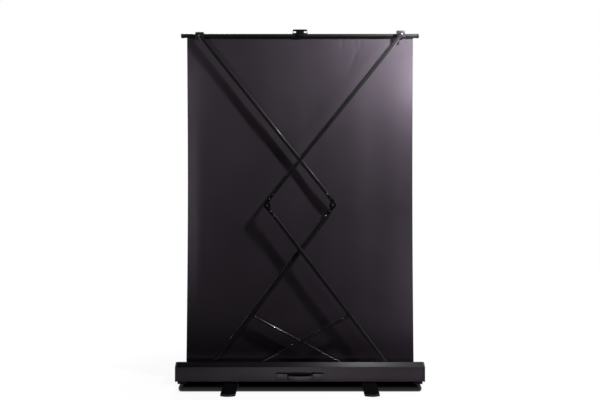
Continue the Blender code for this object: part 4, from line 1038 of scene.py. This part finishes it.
# Arm brackets in the case. Bent zinc plated strips on the case floor, with the pins that the
# lower arms turn on, and two more beside the eyes of the gas struts' rods.
for name in ("arm_base_bracket_left", "arm_base_bracket_right", "strut_anchor_left", "strut_anchor_right"):
    frame["nodes"][name].data.materials[0] = zinc
for name in ("left", "right"):
    low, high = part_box(f"base_pin_{name}")
    middle = ((low.x + high.x) / 2, (low.z + high.z) / 2)
    piece(f"base_pivot_{name}", pin_shape(low.y + 0.0014, high.y - 0.0014, middle), "case",
          screw_steel, [f"base_pin_{name}"])
    for node in (f"arm_base_bracket_{name}", f"strut_anchor_{name}"):
        low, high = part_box(node)
        spread_y = high.y - 0.006 if (high.y + low.y) / 2 > -0.020 else low.y + 0.006
        spots = [((low.x + high.x) / 2 + x, spread_y, FOOT_SCREW_LEVEL) for x in (-0.009, 0.009)]
        fasteners(f"{node}_screws", spots, "+Z", 0.0028, 0.0016, "case", black_screw, seed=7)


# Gas struts. Gloss black cylinders that hang in clevises under the lower arms, with polished rods
# that go down to the case and help to lift the screen.
strut_gloss = blotchy_finish("strut_gloss_black", (0.008, 0.008, 0.010), (0.18, 0.28), 0.01,
                             coat=(0.6, 0.08), specular=0.6)
rod_chrome = blotchy_finish("rod_chrome", (0.78, 0.78, 0.80), (0.08, 0.17), 0.003, 2.0, metallic=1.0)
STRUT_RADIUS = 0.008
STRUT_START = 0.022
STRUT_NECK = 0.0055
STRUT_SHOULDER = 0.0070
ROD_RADIUS = 0.0038
ROD_HOLE = ROD_RADIUS + 0.0003
EYE_RADIUS = 0.007
EYE_HALF = 0.004
EYE_HOLE = 0.0028
STRUT_SHARE = 0.600
CYLINDER_HEAD = 0.012
GROOVE_DEPTH = 0.0004
OVERLAP = 0.001
for letter in ("a", "b"):
    pivot = places[f"strut_{letter}_swing"]
    low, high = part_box(f"strut_anchor_{'right' if letter == 'a' else 'left'}")
    foot = Vector(((low.x + high.x) / 2, pivot.y, places["frame_fold"].z - 0.024))
    along = foot - pivot
    span = along.length
    hand = 1 if along.x > 0 else -1
    tilt = math.atan2(pivot.z - foot.z, abs(along.x))
    placing = Matrix.Translation(pivot) @ Matrix.Rotation(hand * tilt, 4, "Y")
    end = span * STRUT_SHARE
    bore_end = STRUT_START + CYLINDER_HEAD
    profile = [(0.0, STRUT_START), (STRUT_NECK, STRUT_START), (STRUT_SHOULDER, STRUT_START + 0.0008),
               (STRUT_RADIUS, STRUT_START + 0.004), (STRUT_RADIUS, end - 0.022),
               (STRUT_RADIUS - GROOVE_DEPTH, end - 0.0212), (STRUT_RADIUS - GROOVE_DEPTH, end - 0.0196),
               (STRUT_RADIUS, end - 0.0188), (STRUT_RADIUS, end - 0.004), (STRUT_SHOULDER, end - 0.0008),
               (STRUT_NECK, end), (ROD_HOLE, end), (ROD_HOLE, bore_end), (0.0, bore_end)]
    cylinder = turned([(r, hand * s) for r, s in profile], "X", 48)
    neck = turned(rectangle(0.0, hand * (EYE_RADIUS - OVERLAP), ROD_RADIUS, hand * (STRUT_START + OVERLAP)),
                  "X", 32)
    eye = turned(rectangle(EYE_HOLE, -EYE_HALF, EYE_RADIUS, EYE_HALF), "Y", 40)
    piece(f"strut_body_{letter}", cylinder, f"strut_cylinder_{letter}", strut_gloss,
          [f"strut_cylinder_{letter}"], adds=[neck, eye], placing=placing, sharp=50)
    stem = turned(rectangle(0.0, hand * (end - 0.008), ROD_RADIUS, hand * (span - OVERLAP)), "X", 32)
    rod_eye = turned(rectangle(0.0, -EYE_HALF, EYE_RADIUS, EYE_HALF), "Y", 40, (hand * span, 0.0))
    piece(f"strut_piston_rod_{letter}", stem, f"strut_rod_{letter}", rod_chrome,
          [f"strut_rod_{letter}"], adds=[rod_eye], placing=placing, sharp=50)
    frame["nodes"][f"strut_bracket_{letter}"].data.materials[0] = steel_black


# Bar. A satin black tube along the cloth's top edge, slotted underneath for the hem, with a
# plastic plug in each end.
low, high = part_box("top_bar")
BAR_Y = (low.y + high.y) / 2
BAR_Z = (low.z + high.z) / 2
BAR_RADIUS = (high.z - low.z) / 2
SLOT_ANGLE = 2.1
outer = arc((BAR_Y, BAR_Z), BAR_RADIUS, -90 + SLOT_ANGLE, 270 - SLOT_ANGLE, 72)
inner = arc((BAR_Y, BAR_Z), BAR_RADIUS - 0.002, 270 - SLOT_ANGLE * 1.15, -90 + SLOT_ANGLE * 1.15, 72)
piece("bar_tube", prism(outer + inner, "X", low.x, high.x), "top_bar", arm_paint, ["top_bar"])
for side, name in ((-1, "left"), (1, "right")):
    plug_low, plug_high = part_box(f"bar_plug_{name}")
    start = high.x + PLAY
    end = plug_high.x if side > 0 else -plug_low.x
    plug_radius = (plug_high.z - plug_low.z) / 2
    profile = [(0.0, start - 0.020), (BAR_RADIUS - 0.0025, start - 0.020), (BAR_RADIUS - 0.0025, start),
               (plug_radius - 0.0006, start), (plug_radius, start + 0.0006), (plug_radius, end - 0.003),
               (plug_radius - 0.0009, end - 0.0009), (plug_radius - 0.003, end), (0.0, end)]
    piece(f"bar_end_{name}", turned([(r, side * x) for r, x in profile], "X", 64, (BAR_Y, BAR_Z)), "top_bar",
          cap_plastic, [f"bar_plug_{name}"], sharp=50)
frame["nodes"]["hem_rod"].data.materials[0] = zinc


# Brackets on the bar. Bent black steel strips clamped round it, one close to the bar for the rear
# arm and one that reaches out to the front arm.
STRIP = 0.0025
CLAMP_WALL = 0.003
CLAMP_OPENING = 50.0


def clamp(low_x, high_x):
    """A clamp round the bar, open below where the cloth leaves it."""
    start, end = -90 + CLAMP_OPENING, 270 - CLAMP_OPENING
    inner = arc((BAR_Y, BAR_Z), BAR_RADIUS + PLAY, end, start, 40)
    outer = arc((BAR_Y, BAR_Z), BAR_RADIUS + CLAMP_WALL, start, end, 40)
    return prism(outer + inner, "X", low_x, high_x)


low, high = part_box("arm_bracket_left")
face = low.y
drop, rise = BAR_Z - low.z, high.z - BAR_Z
reach_y = 0.018
WEB_HALF = 0.008
hook = [(face, -drop), (face + STRIP, -drop), (face + STRIP, rise - STRIP), (reach_y, rise - STRIP),
        (reach_y, rise), (face, rise)]
web = prism(rectangle(low.x, BAR_Z - WEB_HALF, high.x, BAR_Z + WEB_HALF), "Y", face + OVERLAP,
            BAR_Y - BAR_RADIUS - OVERLAP)
piece("bar_bracket_left", prism([(y, BAR_Z + z) for y, z in hook], "X", low.x, high.x), "top_bar",
      steel_black, ["arm_bracket_left"], adds=[clamp(low.x, high.x), web], edge=0.0006)
low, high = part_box("arm_bracket_right")
face = low.y
drop, rise = BAR_Z - low.z, high.z - BAR_Z
back = BAR_Y - BAR_RADIUS - PLAY
channel = [(face, -drop), (face + STRIP, -drop), (face + STRIP, rise - STRIP), (back - STRIP, rise - STRIP),
           (back - STRIP, -WEB_HALF), (back, -WEB_HALF), (back, rise - STRIP), (reach_y, rise - STRIP),
           (reach_y, rise), (face, rise)]
piece("bar_bracket_right", prism([(y, BAR_Z + z) for y, z in channel], "X", low.x, high.x), "top_bar",
      steel_black, ["arm_bracket_right"], adds=[clamp(low.x, high.x)], edge=0.0006)
for name in ("left", "right"):
    low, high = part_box(f"arm_bracket_{name}")
    spots = [((low.x + high.x) / 2 + x, 0.010, high.z - 0.0002) for x in (-0.018, 0.018)]
    fasteners(f"bar_bracket_rivets_{name}", spots, "+Z", 0.0028, -0.0002, "top_bar",
              screw_steel, RIVET_HEAD)


# Lift handle. A black moulded handle clamped on the middle of the bar, with a finger window on
# each side of a solid centre.
low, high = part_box("lift_handle")
middle = (low.x + high.x) / 2
base_half, top_half = 0.0525, 0.047
rise = high.z - BAR_Z
outline = rounded([(middle - base_half, 0.0), (middle + base_half, 0.0), (middle + top_half, rise),
                   (middle - top_half, rise)], 0.008, 8)
lift_half = 0.006
WINDOW_PLACE = 0.0365
WINDOW_HALF = 0.010
WINDOW_LOW = BAR_RADIUS + 0.005
WINDOW_HIGH = BAR_RADIUS + 0.019
grip_plate = prism([(x, BAR_Z + z) for x, z in outline], "Y", BAR_Y - lift_half, BAR_Y + lift_half)
windows = []
for side in (-1, 1):
    left = middle + side * WINDOW_PLACE - WINDOW_HALF
    window = rounded(rectangle(left, WINDOW_LOW, left + 2 * WINDOW_HALF, WINDOW_HIGH), 0.004)
    windows.append(prism([(x, BAR_Z + z) for x, z in window], "Y", BAR_Y - 0.01, BAR_Y + 0.01))
seat = turned(rectangle(0.0, middle - 0.06, BAR_RADIUS + PLAY, middle + 0.06), "X", 96, (BAR_Y, BAR_Z))
piece("bar_lift_handle", grip_plate, "top_bar", elbow_plastic, ["lift_handle"],
      adds=[clamp(middle - 0.0265, middle + 0.0265)], cuts=windows + [seat], edge=0.0012)

for head_shape in (SCREW_HEAD, RIVET_HEAD):
    bpy.data.objects.remove(head_shape, do_unlink=True)
